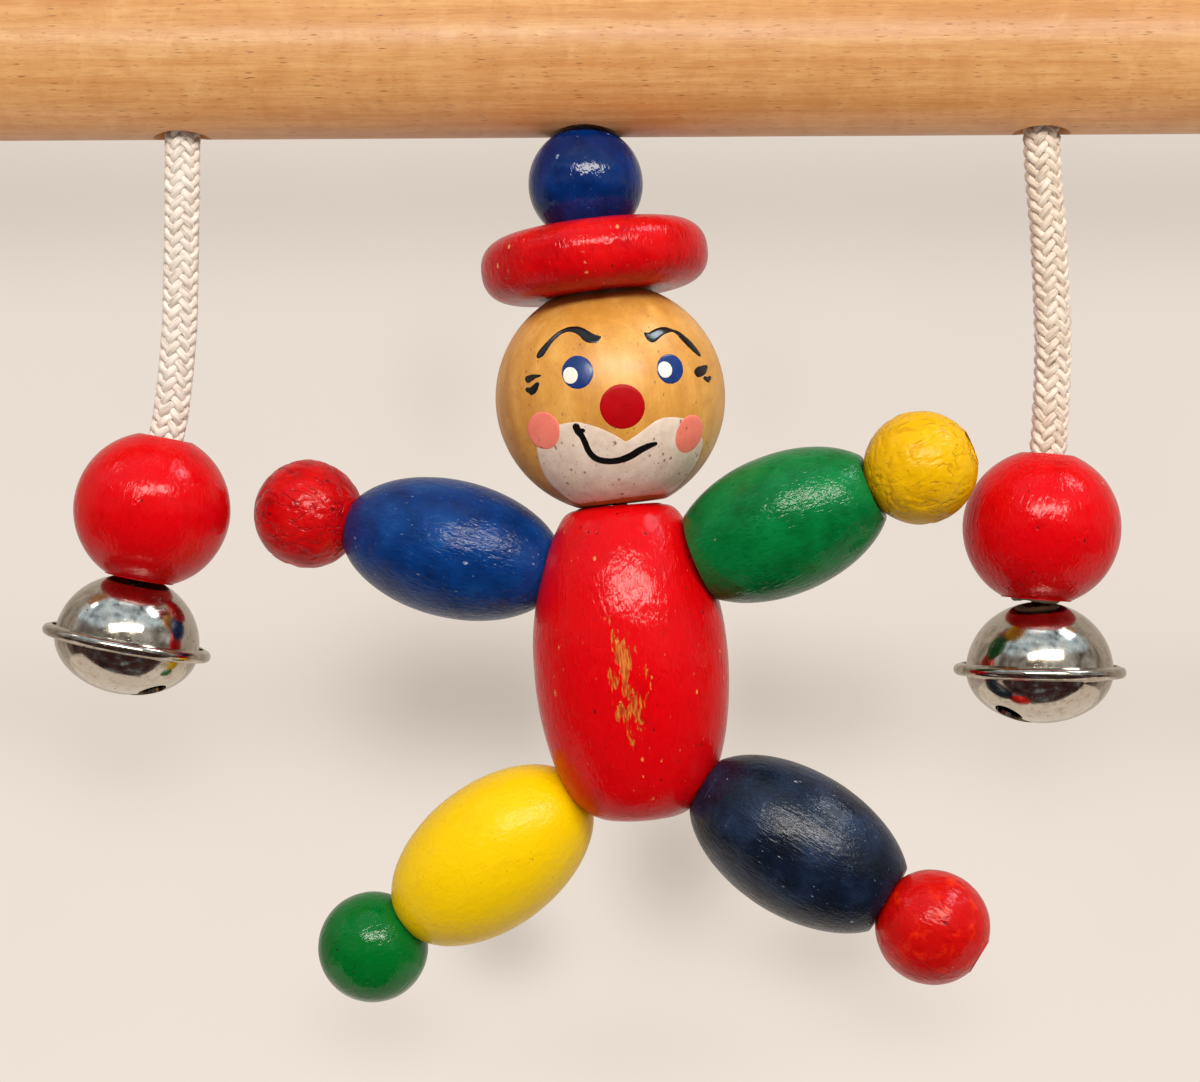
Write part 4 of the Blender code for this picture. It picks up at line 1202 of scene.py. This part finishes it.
LIMBS = {
    "left_arm": (-1, -13.12, 35.05, 16.05, 9.45, 13.6, 7.58, LEFT_ARM, LEFT_HAND, "left_hand"),
    "right_arm": (1, -13.49, 31.62, 15.20, 9.40, 11.5, 7.50, RIGHT_ARM, RIGHT_HAND, "right_hand"),
    "left_leg": (-1, 17.20, 36.20, 16.15, 9.95, 14.6, 7.62, LEFT_LEG, LEFT_FOOT, "left_foot"),
    "right_leg": (1, 17.35, 34.90, 16.10, 9.70, 14.3, 7.52, RIGHT_LEG, RIGHT_FOOT, "right_foot"),
}
SLOTS = {"left_arm": "blue", "left_hand": "red", "right_arm": "green", "right_hand": "yellow", "left_leg": "yellow", "left_foot": "green", "right_leg": "navy", "right_foot": "red"}
FURROWS = {
    "left_hand": [(0.14, 2.4, 1.6, 0.5), (0.07, 1.3, 1.8, 0.9)],
    "right_hand": [(0.12, 1.6, 2.8, 1.0), (0.07, 1.0, 2.6, 0.8)],
    "left_foot": [(0.02, 1.6, 2.0, 0.0)],
    "right_foot": [(0.05, 1.8, 1.6, 0.4)],
}


def along(n):
    z = Vector(n).normalized()
    x = Vector((0, 1, 0)).cross(z).normalized()
    y = z.cross(x)
    return Matrix((x, y, z)).transposed().to_4x4()


def seat(limb):
    side, at = LIMBS[limb][0], LIMBS[limb][1]
    r, b = torso_surface(at)
    if limb.endswith("leg"):
        b += math.radians(7)
    p = Vector((side * r, 0, -at))
    n = Vector((side * math.cos(b), 0, -math.copysign(math.sin(b), at)))
    return p, n


SUNK = {"left_arm": 0.85, "right_arm": 0.12, "left_leg": 0.85, "right_leg": 0.30}


def limb_start(limb):
    return -0.10 if limb.endswith("leg") else 0.05


def limb_radius(limb, z):
    _, _, _, a, b, wide = LIMBS[limb][:6]
    return b * math.sqrt(max(0.02, 1 - ((z - wide) / a) ** 2))


torso_cuts = []
for limb in LIMBS:
    p, n = seat(limb)
    # a shallow round seat for the bead's end, then its hole in to the middle bore
    end = limb_radius(limb, -SUNK[limb]) + 0.42
    start = limb_start(limb)
    low = start - SUNK[limb] - 0.06
    cv, cf = plug([(end + 0.3, 3.0), (end + 0.3, 0.6), (end, low + 0.25), (end - 0.25, low), (3.0, low), (2.5, low - 0.6), (2.5, -11.0)], 64)
    torso_cuts.append((cv, cf, TORSO_M @ T(p) @ along(n)))
cut(torso, torso_cuts)
bind(torso, "torso", "red", "torso")

for k, (limb, spec) in enumerate(LIMBS.items()):
    side, at, reach, a, b, wide, end_r, mat, end_mat, end = spec
    start = -0.10 if limb.endswith("leg") else 0.05
    p, n = seat(limb)
    n_w = (TORSO_M.to_3x3() @ n).normalized()
    p_w = TORSO_M @ p
    rot = along(n_w)
    length = reach - 6.75 - start
    rad = lambda z: limb_radius(limb, z)
    near, far = rad(-SUNK[limb]), rad(length)
    sn, sf = min(near - 0.45, 4.3), min(far - 0.35, 4.0)
    prof = [(rad(z), z) for z in np.linspace(length, -SUNK[limb], 150)]
    prof += [(sn, -SUNK[limb]), (2.0, 1.4), (2.0, length - 2.0), (sf, length)]
    o = turned(f"{limb}_bead_turned", prof, mat, T(p_w + n_w * start) @ rot, 136, 0.4, 0.14, push=form(0.045, 5.5, 30 + k, 4.6))
    bind(o, limb, SLOTS[limb], limb)

    prof = sphere_profile(end_r, 7.20, -7.20, 1.6, 0.4, 0.4)[:-2]
    prof += [(1.6, 4.2), (2.3, 4.2), (2.3, 6.9), (2.55, 7.2)]
    fine = end in ("left_hand", "right_hand", "right_foot")
    o = turned(f"{end}_turned", prof, end_mat, T(p_w + n_w * reach) @ rot, 220 if fine else 140, 0.21 if fine else 0.36, 0.14, push=form(0.06 if fine else 0.03, 3.6, 50 + k, 2.8, FURROWS.get(end)))
    bind(o, end, SLOTS[end], end)

    # the limb's elastic and the knot that holds the end bead
    line = np.array([p_w + n_w * x for x in np.linspace(-2.3, reach + 4.9, 110)])
    v, f, uv = twisted(line, 0.9, 14, 0.03)
    o = make(f"{limb}_elastic_line", v, f, ELASTIC, uv=uv)
    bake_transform(o)
    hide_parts(f"{limb}_elastic")
    kp = knot_path(4.9, 6.0, 0.92, 0.42, 4.5, 0.15)
    v, f, uv = twisted(kp, 0.62, 12, 0.03)
    o = make(f"{limb}_end_knot", v, f, ELASTIC, T(p_w + n_w * reach) @ rot, uv=uv)
    bind(o, f"{limb}_line", "elastic")

# ------------------------------------------------------------------ elastics
axis_down = (TORSO_M.to_3x3() @ Vector((0, 0, -1))).normalized()
core_keys = [CROWN_C + DOWN * x for x in (-2.0, 4, 10.5, 20, 30, 38)]
core_keys += [TORSO_M.translation + axis_down * x for x in (-17, -8, 0, 9, 17.6)]
path = spline([tuple(p) for p in core_keys], 0.5)
v, f, uv = twisted(path, 1.0, 14, 0.03)
o = make("core_elastic_line", v, f, ELASTIC, uv=uv)
bind(o, "core", "elastic", "core_elastic")
kp = knot_path(18.0, 20.0, 1.25, 0.6, 17.4, 0.2)
v, f, uv = twisted(kp, 0.85, 12, 0.03)
o = make("core_end_knot", v, f, ELASTIC, T(TORSO_M.translation) @ along(axis_down), uv=uv)
bind(o, "core", "elastic")

up_keys = [(0, 0, 6.8), (0, 0, 2), (0, 0, -3), (0, 0, -6.9)]
v, f, uv = twisted(spline(up_keys, 0.4), 1.0, 14, 0.03)
o = make("hanger_elastic_upper", v, f, ELASTIC, uv=uv)
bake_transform(o)
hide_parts("hanger_elastic")
low_keys = [(0, 0, -5.9), (0, 0, -8.0)] + [tuple(CROWN_C + DOWN * x) for x in (-7.6, -5.0, -1.0)]
v, f, uv = twisted(spline(low_keys, 0.4), 1.0, 14, 0.03)
o = make("hanger_elastic_lower", v, f, ELASTIC, uv=uv)
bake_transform(o)
kp = knot_path(7.2, 9.2, 1.7, 0.8, 6.4, 0.25)
v, f, uv = twisted(kp, 0.98, 14, 0.03)
o = make("hanger_stop_knot", v, f, ELASTIC, uv=uv)
bind(o, "root", "elastic", "hanger_knot")

for name, limbs in (("shoulder", ("left_arm", "right_arm")), ("hip", ("left_leg", "right_leg"))):
    (p0, n0), (p1, n1) = seat(limbs[0]), seat(limbs[1])
    mid = (p0 + p1) / 2 - (n0 + n1) * 6.0
    keys = [p0 - n0 * 1.9, p0 - n0 * 6.0, Vector((mid.x, 2.35, mid.z)), p1 - n1 * 6.0, p1 - n1 * 1.9]
    path = spline([tuple(TORSO_M @ k) for k in keys], 0.4)
    v, f, uv = twisted(path, 0.9, 14, 0.03)
    o = make(f"{name}_elastic_line", v, f, ELASTIC, uv=uv)
    bind(o, "torso", "elastic", f"{name}_elastic")

# ------------------------------------------------------------------ pendants
PENDANTS = {
    "left": (Vector((-59.0, 0, -62.39)), 10.87, 18.45, 10.87, -35.0, LEFT_BEAD, NICKEL_L),
    "right": (Vector((61.3, 0, -64.92)), 4.5, 19.20, 0.87, 28.0, RIGHT_BEAD, NICKEL_R),
}
for side, (c, lean, dist, bell_lean, turn, bead_mat, bell_mat) in PENDANTS.items():
    prof = sphere_profile(10.55, 9.95, -9.60, 3.1, 0.6, 0.6)[:-4]
    prof += [(4.8, -9.6), (4.2, -9.0), (4.2, -4.2), (3.1, -4.0), (3.1, 9.3), (3.75, 9.95)]
    o = turned(f"{side}_pendant_bead_turned", prof, bead_mat, T(c) @ RY(lean), 168, 0.4, 0.2, push=form(0.045, 5.0, 60 + len(side), 4.6))
    bind(o, f"{side}_bead", "red", f"{side}_pendant_bead")

    if side == "right":
        # the cord's tied end shows in the gap over the bell, in the dark core yarn as painted shade in that gap
        turns = np.linspace(0, 1.9 * TAU, 150)
        coil = np.stack([2.75 * np.cos(turns), 2.75 * np.sin(turns), -9.15 - 0.25 * np.sin(turns * 1.5)], 1)
        v, fcs, uv = twisted(coil, 0.62, 12, 0.12)
        o = make("right_cord_tied_end", v, fcs, CORD_SHADED_CORE, T(c) @ RY(lean), uv=uv)
        bind(o, "right_pendant", "cord")

    up = Vector((math.sin(math.radians(bell_lean)), 0, math.cos(math.radians(bell_lean))))
    M = T(c - up * dist) @ RY(bell_lean) @ Matrix.Rotation(math.radians(turn), 4, "Z")
    dent = lambda v, n: 0.03 * fbm(v / 6.0, 2, 70 + len(side)) * smooth01(np.abs(v[:, 2]) / 3.0)

    outer = [(9.8 * math.sin(a), 9.3 * math.cos(a)) for a in np.linspace(0.03, math.pi / 2 - 0.085, 60)]
    inner = [(9.2 * math.sin(a), 8.7 * math.cos(a)) for a in np.linspace(math.pi / 2 - 0.06, 0.03, 60)]
    prof = outer + [(9.95, 0.62), (10.75, 0.55), (10.78, 0.2), (9.6, 0.12)] + inner
    o = turned(f"{side}_bell_dome", prof, bell_mat, M, 160, 0.42, 0.10, closed=False, push=dent)
    bind(o, f"{side}_bell", "nickel", f"{side}_bell_upper_shell")

    outer = [(9.8 * math.sin(a), -7.0 * math.cos(a)) for a in np.linspace(0.03, math.pi / 2 - 0.12, 60)]
    inner = [(9.2 * math.sin(a), -6.4 * math.cos(a)) for a in np.linspace(math.pi / 2 - 0.05, 0.03, 60)]
    roll = [(10.85 + 0.62 * math.cos(a), 0.02 + 0.74 * math.sin(a)) for a in np.linspace(-math.pi / 2, math.pi / 2, 15)]
    back = [(10.35, 0.98), (10.30, 0.70), (10.80, 0.66), (10.95, 0.35), (10.90, 0.05), (10.4, -0.10), (9.6, -0.14)]
    prof = outer + [(10.05, -0.70)] + roll + back + inner
    o = turned(f"{side}_bell_bowl", prof, bell_mat, M, 160, 0.40, 0.09, closed=False, push=dent)
    w, h = 1.0, 5.8
    # the slot and its two round ends as one outline
    turn_at = math.asin(w / 1.8)
    outline = [(h + 1.8 * math.cos(a), 1.8 * math.sin(a)) for a in np.linspace(-(math.pi - turn_at), math.pi - turn_at, 25)]
    outline += [(-h + 1.8 * math.cos(a), 1.8 * math.sin(a)) for a in np.linspace(turn_at, TAU - turn_at, 25)]
    k = len(outline)
    cv = np.array([(x, y, -9.0) for x, y in outline] + [(x, y, -3.3) for x, y in outline])
    cf = [list(range(k))[::-1], list(range(k, 2 * k))]
    cf += [[i, (i + 1) % k, k + (i + 1) % k, k + i] for i in range(k)]
    c_obj = (cv, cf, M @ Matrix.Rotation(math.radians(7 if side == "left" else 12), 4, "Z"))
    cut(o, [c_obj])
    bind(o, f"{side}_bell", "nickel", f"{side}_bell_lower_shell")

    ring_z = dist - 4.95
    legs = [(0, -1.5, 9.0), (0, -1.5, 9.8), (0, -1.5, ring_z - 1.9)]
    arch = [(0, 1.5 * math.sin(a), ring_z - 2.0 + 1.5 * math.cos(a)) for a in np.linspace(-1.3, 1.3, 9)]
    path = spline(legs + arch + [(x, -y, z) for x, y, z in legs[::-1]], 0.15)
    v, f, uv = twisted(path, 0.4, 12, 0.0)
    o = make(f"{side}_bell_loop_wire", v, f, STEEL, M, uv=uv)
    bind(o, f"{side}_bell", "steel", f"{side}_bell_loop")
    path = np.array([(1.75 * math.sin(a), 0.12 * math.sin(a / 2), ring_z + 1.75 * math.cos(a)) for a in np.linspace(0.05, TAU + 0.0, 90)])
    v, f, uv = twisted(path, 0.4, 12, 0.0)
    o = make(f"{side}_bell_link_wire", v, f, STEEL, M, uv=uv)
    bind(o, f"{side}_bell", "steel", f"{side}_bell_link")

    prof = [(2.5 * math.sin(a), 2.5 * math.cos(a)) for a in np.linspace(0.05, math.pi - 0.05, 30)]
    o = turned(f"{side}_bell_pellet_ball", prof, STEEL, M @ T(0, 0, -3.55), 44, 0.3, None, closed=False, push=lambda v, n: 0.03 * fbm(v / 1.2, 2, 88))
    bind(o, f"{side}_pellet", "steel", f"{side}_bell_pellet")

# ------------------------------------------------------------------ stage
PAINTED_SOFT_SHADOWS = [
    # painted soft shadows of the object on the paper: across, up, half sizes, strength, as seen from the camera's
    # place, per unit distance
    (0.000, 0.128, 9.0, 0.027, 0.22),
    (0.000, -0.060, 9.0, 0.026, 0.13),
    (-0.060, -0.057, 0.037, 0.031, 0.40),
    (-0.025, -0.062, 0.022, 0.034, 0.22),
    (-0.060, 0.055, 0.022, 0.026, 0.10),
    (0.062, 0.052, 0.020, 0.026, 0.06),
    (0.029, -0.118, 0.026, 0.030, 0.50),
    (-0.036, -0.150, 0.020, 0.016, 0.40),
    (0.086, -0.152, 0.030, 0.017, 0.34),
    (0.082, -0.062, 0.034, 0.026, 0.22),
    (0.055, -0.056, 0.018, 0.026, 0.16),
    (-0.178, -0.082, 0.028, 0.020, 0.10),
    (0.160, -0.080, 0.030, 0.020, 0.08),
    (-0.082, -0.180, 0.026, 0.016, 0.16),
    (0.112, -0.178, 0.030, 0.014, 0.12),
    (0.010, -0.190, 0.060, 0.018, 0.08),
]


def paper(name, low, high, shade):
    """Pale paper that glows with its own painted light, darker towards the top as painted shade, with painted soft
    shadows of the object.
    """
    f = Finish(name, Roughness=0.95, Specular_IOR_Level=0.0, Emission_Strength=1.0)
    z = f.axes(f.at((1, 1, 1)))[2]
    # painted shade: the paper darker towards the top, under the bar
    tone = f.mix(f.fit(z, -0.62, 0.45, 0.0, 1.0), low, high)
    turn = Matrix.Rotation(math.radians(-2.2), 4, "Z")
    eye = turn @ Vector((0.015767, -0.359735, -0.066664))
    x, y, z = f.axes(f.at((1, 1, 1), tuple(-eye), (0, 0, math.radians(-2.2))))
    x, z = f.math("DIVIDE", x, y), f.math("DIVIDE", z, y)
    # painted shadows: soft blobs summed where the object's shadows fall
    total = 0.0
    for cx, cz, sx, sz, much in PAINTED_SOFT_SHADOWS:
        dx = f.times(f.math("SUBTRACT", x, cx), 1.0 / sx)
        dz = f.times(f.math("SUBTRACT", z, cz), 1.0 / sz)
        fall = f.math("EXPONENT", f.times(f.add(f.times(dx, dx), f.times(dz, dz)), -1.0))
        total = f.add(f.times(fall, much), total)
    total = f.times(total, f.fit(y, 0.6, 1.2, 0.0, 1.0))
    grain = f.fit(f.noise(f.at((1, 1, 1)), 3.0, 3, 0.5), 0.3, 0.7, -0.02, 0.02)
    # the painted shadows darken the paper's colour towards the shade colour
    tone = f.mix(f.math("ADD", total, grain, clamp=True), tone, shade)
    f.put(f.s.inputs["Emission Color"], tone)
    f.s.inputs["Base Color"].default_value = (0.12, 0.115, 0.11, 1)
    return f.m


PAPER = paper("stage_paper", (0.80, 0.71, 0.63, 1), (0.70, 0.62, 0.55, 1), (0.22, 0.165, 0.125, 1))
floor_z, wall_r, fillet = -620.0, 1900.0, 700.0
prof = [(r, floor_z) for r in np.linspace(20, wall_r - fillet, 24)]
prof += [
    (wall_r - fillet + fillet * math.sin(a), floor_z + fillet - fillet * math.cos(a))
    for a in np.linspace(0.05, math.pi / 2, 24)
]
prof += [(wall_r, z) for z in np.linspace(floor_z + fillet + 60, 1500, 10)]


def sweep_sector(name, a0, a1, n):
    ang = np.linspace(a0, a1, n)
    p = np.array(prof)
    v = np.stack(
        [
            p[:, 0][:, None] * np.cos(ang),
            p[:, 0][:, None] * np.sin(ang),
            np.repeat(p[:, 1][:, None], n, 1),
        ],
        2,
    ).reshape(-1, 3)
    fc = [
        [i * n + j, (i + 1) * n + j, (i + 1) * n + j + 1, i * n + j + 1]
        for i in range(len(p) - 1)
        for j in range(n - 1)
    ]
    o = make(name, v, fc, PAPER)
    return o


stage_back = sweep_sector("stage_back", math.radians(-18), math.radians(198), 60)
stage_front = sweep_sector("stage_front", math.radians(198), math.radians(342), 44)
stage_front.visible_glossy = False
stage_front.visible_diffuse = False

# the room round the object, which only reflections see
f = Finish("stage_room", Roughness=1.0, Specular_IOR_Level=0.0, Emission_Strength=1.0)
spots = f.noise(f.at((1, 1, 1)), 3.4, 4, 0.62)
spots2 = f.noise(f.at((1, 1, 1), (4.0, 2.0, 1.0)), 2.2, 4, 0.6, 0.4)
low = f.ramp(
    spots,
    [
        (0.36, (0.014, 0.009, 0.008, 1)),
        (0.46, (0.065, 0.015, 0.017, 1)),
        (0.55, (0.060, 0.040, 0.036, 1)),
        (0.62, (0.15, 0.18, 0.21, 1)),
        (0.71, (0.44, 0.48, 0.52, 1)),
    ],
)
middle = f.ramp(
    spots2,
    [
        (0.32, (0.05, 0.035, 0.03, 1)),
        (0.44, (0.22, 0.20, 0.19, 1)),
        (0.54, (0.44, 0.44, 0.43, 1)),
        (0.68, (0.72, 0.74, 0.76, 1)),
    ],
)
high = f.ramp(
    spots,
    [
        (0.36, (0.04, 0.042, 0.048, 1)),
        (0.43, (0.38, 0.50, 0.62, 1)),
        (0.52, (0.66, 0.84, 0.99, 1)),
        (0.66, (0.98, 1.15, 1.30, 1)),
    ],
)
z = f.axes(f.at((1, 1, 1)))[2]
tone = f.mix(f.fit(z, -0.20, 0.06, 0.0, 1.0), low, middle)
tone = f.mix(f.fit(z, 0.46, 0.62, 0.0, 1.0), tone, high)
# behind the object the paper, with a few darker upright things at its sides
back = f.ramp(
    f.noise(f.at((1, 1, 0.35), (1.5, 0.0, 2.0)), 2.6, 4, 0.6),
    [
        (0.34, (0.12, 0.09, 0.075, 1)),
        (0.44, (0.34, 0.29, 0.25, 1)),
        (0.56, (0.55, 0.48, 0.42, 1)),
    ],
)
y = f.axes(f.at((1, 1, 1)))[1]
back = f.mix(f.fit(y, 0.55, 1.05, 0.0, 1.0), back, (0.58, 0.51, 0.445, 1))
under = f.fit(z, -0.55, -1.0, 0.0, 1.0)
back = f.mix(under, back, (0.62, 0.545, 0.475, 1))
tone = f.mix(f.fit(y, -0.10, 0.22, 0.0, 1.0), tone, back)
f.put(f.s.inputs["Emission Color"], tone)
f.s.inputs["Base Color"].default_value = (0.02, 0.02, 0.02, 1)
rows = []
wide = np.linspace(-math.pi, math.pi, 49)[:48]
for e in np.radians(np.linspace(-89, 86, 36)):
    rows.append(
        np.stack(
            [1300 * math.cos(e) * np.sin(wide), -1300 * math.cos(e) * np.cos(wide), np.full(48, 1300 * math.sin(e))],
            1,
        )
    )
fc = [
    [i * 48 + j, i * 48 + (j + 1) % 48, (i + 1) * 48 + (j + 1) % 48, (i + 1) * 48 + j]
    for i in range(35)
    for j in range(48)
]
room = make("stage_room", np.vstack(rows), fc, f.m)
room.visible_camera = False
room.visible_diffuse = False
room.visible_shadow = False
room.visible_transmission = False


def area(name, place, aim_at, size, power, colour):
    d = bpy.data.lights.new(name, "AREA")
    d.shape, d.size, d.size_y = "RECTANGLE", size[0], size[1]
    d.energy, d.color = power, colour
    o = bpy.data.objects.new(name, d)
    o.location = place
    o.rotation_euler = (Vector(aim_at) - Vector(place)).to_track_quat("-Z", "Y").to_euler()
    bpy.context.scene.collection.objects.link(o)
    return o


key = area("key", (0.10, -0.72, 0.34), (0, 0, -0.06), (0.80, 0.16), 9.0, (1.0, 0.94, 0.86))
area("window_right", (0.52, -0.10, 0.625), (0, 0, -0.06), (0.22, 0.22), 2.4, (0.76, 0.88, 1.0))
area("window_left", (-0.56, -0.10, 0.60), (0, 0, -0.06), (0.12, 0.12), 0.2, (0.86, 0.92, 1.0))
area("overhead", (0.0, -0.24, 0.85), (0, 0, -0.06), (0.3, 0.1), 0.15, (0.86, 0.93, 1.0))
# the bar is lit from lower down than what hangs under it
bar_key = area("bar_key", (0.10, -0.78, 0.135), (0, 0, 0), (0.80, 0.18), 6.3, (1.0, 0.96, 0.89))
bar_key.visible_camera = False
bar_set = bpy.data.collections.new("lit_by_bar_key")
bar_set.objects.link(bpy.data.objects["bar_turned"])
bar_key.light_linking.receiver_collection = bar_set
rest_set = bpy.data.collections.new("not_lit_by_key")
rest_set.objects.link(bpy.data.objects["bar_turned"])
rest_set.collection_objects[0].light_linking.link_state = "EXCLUDE"
key.light_linking.receiver_collection = rest_set

world = bpy.data.worlds.new("world")
world.use_nodes = True
world.node_tree.nodes["Background"].inputs[0].default_value = (0.86, 0.82, 0.77, 1)
world.node_tree.nodes["Background"].inputs[1].default_value = 0.30
bpy.context.scene.world = world
world.cycles_visibility.glossy = False
bpy.context.scene.view_settings.view_transform = "Standard"
bpy.context.scene.view_settings.look = "None"
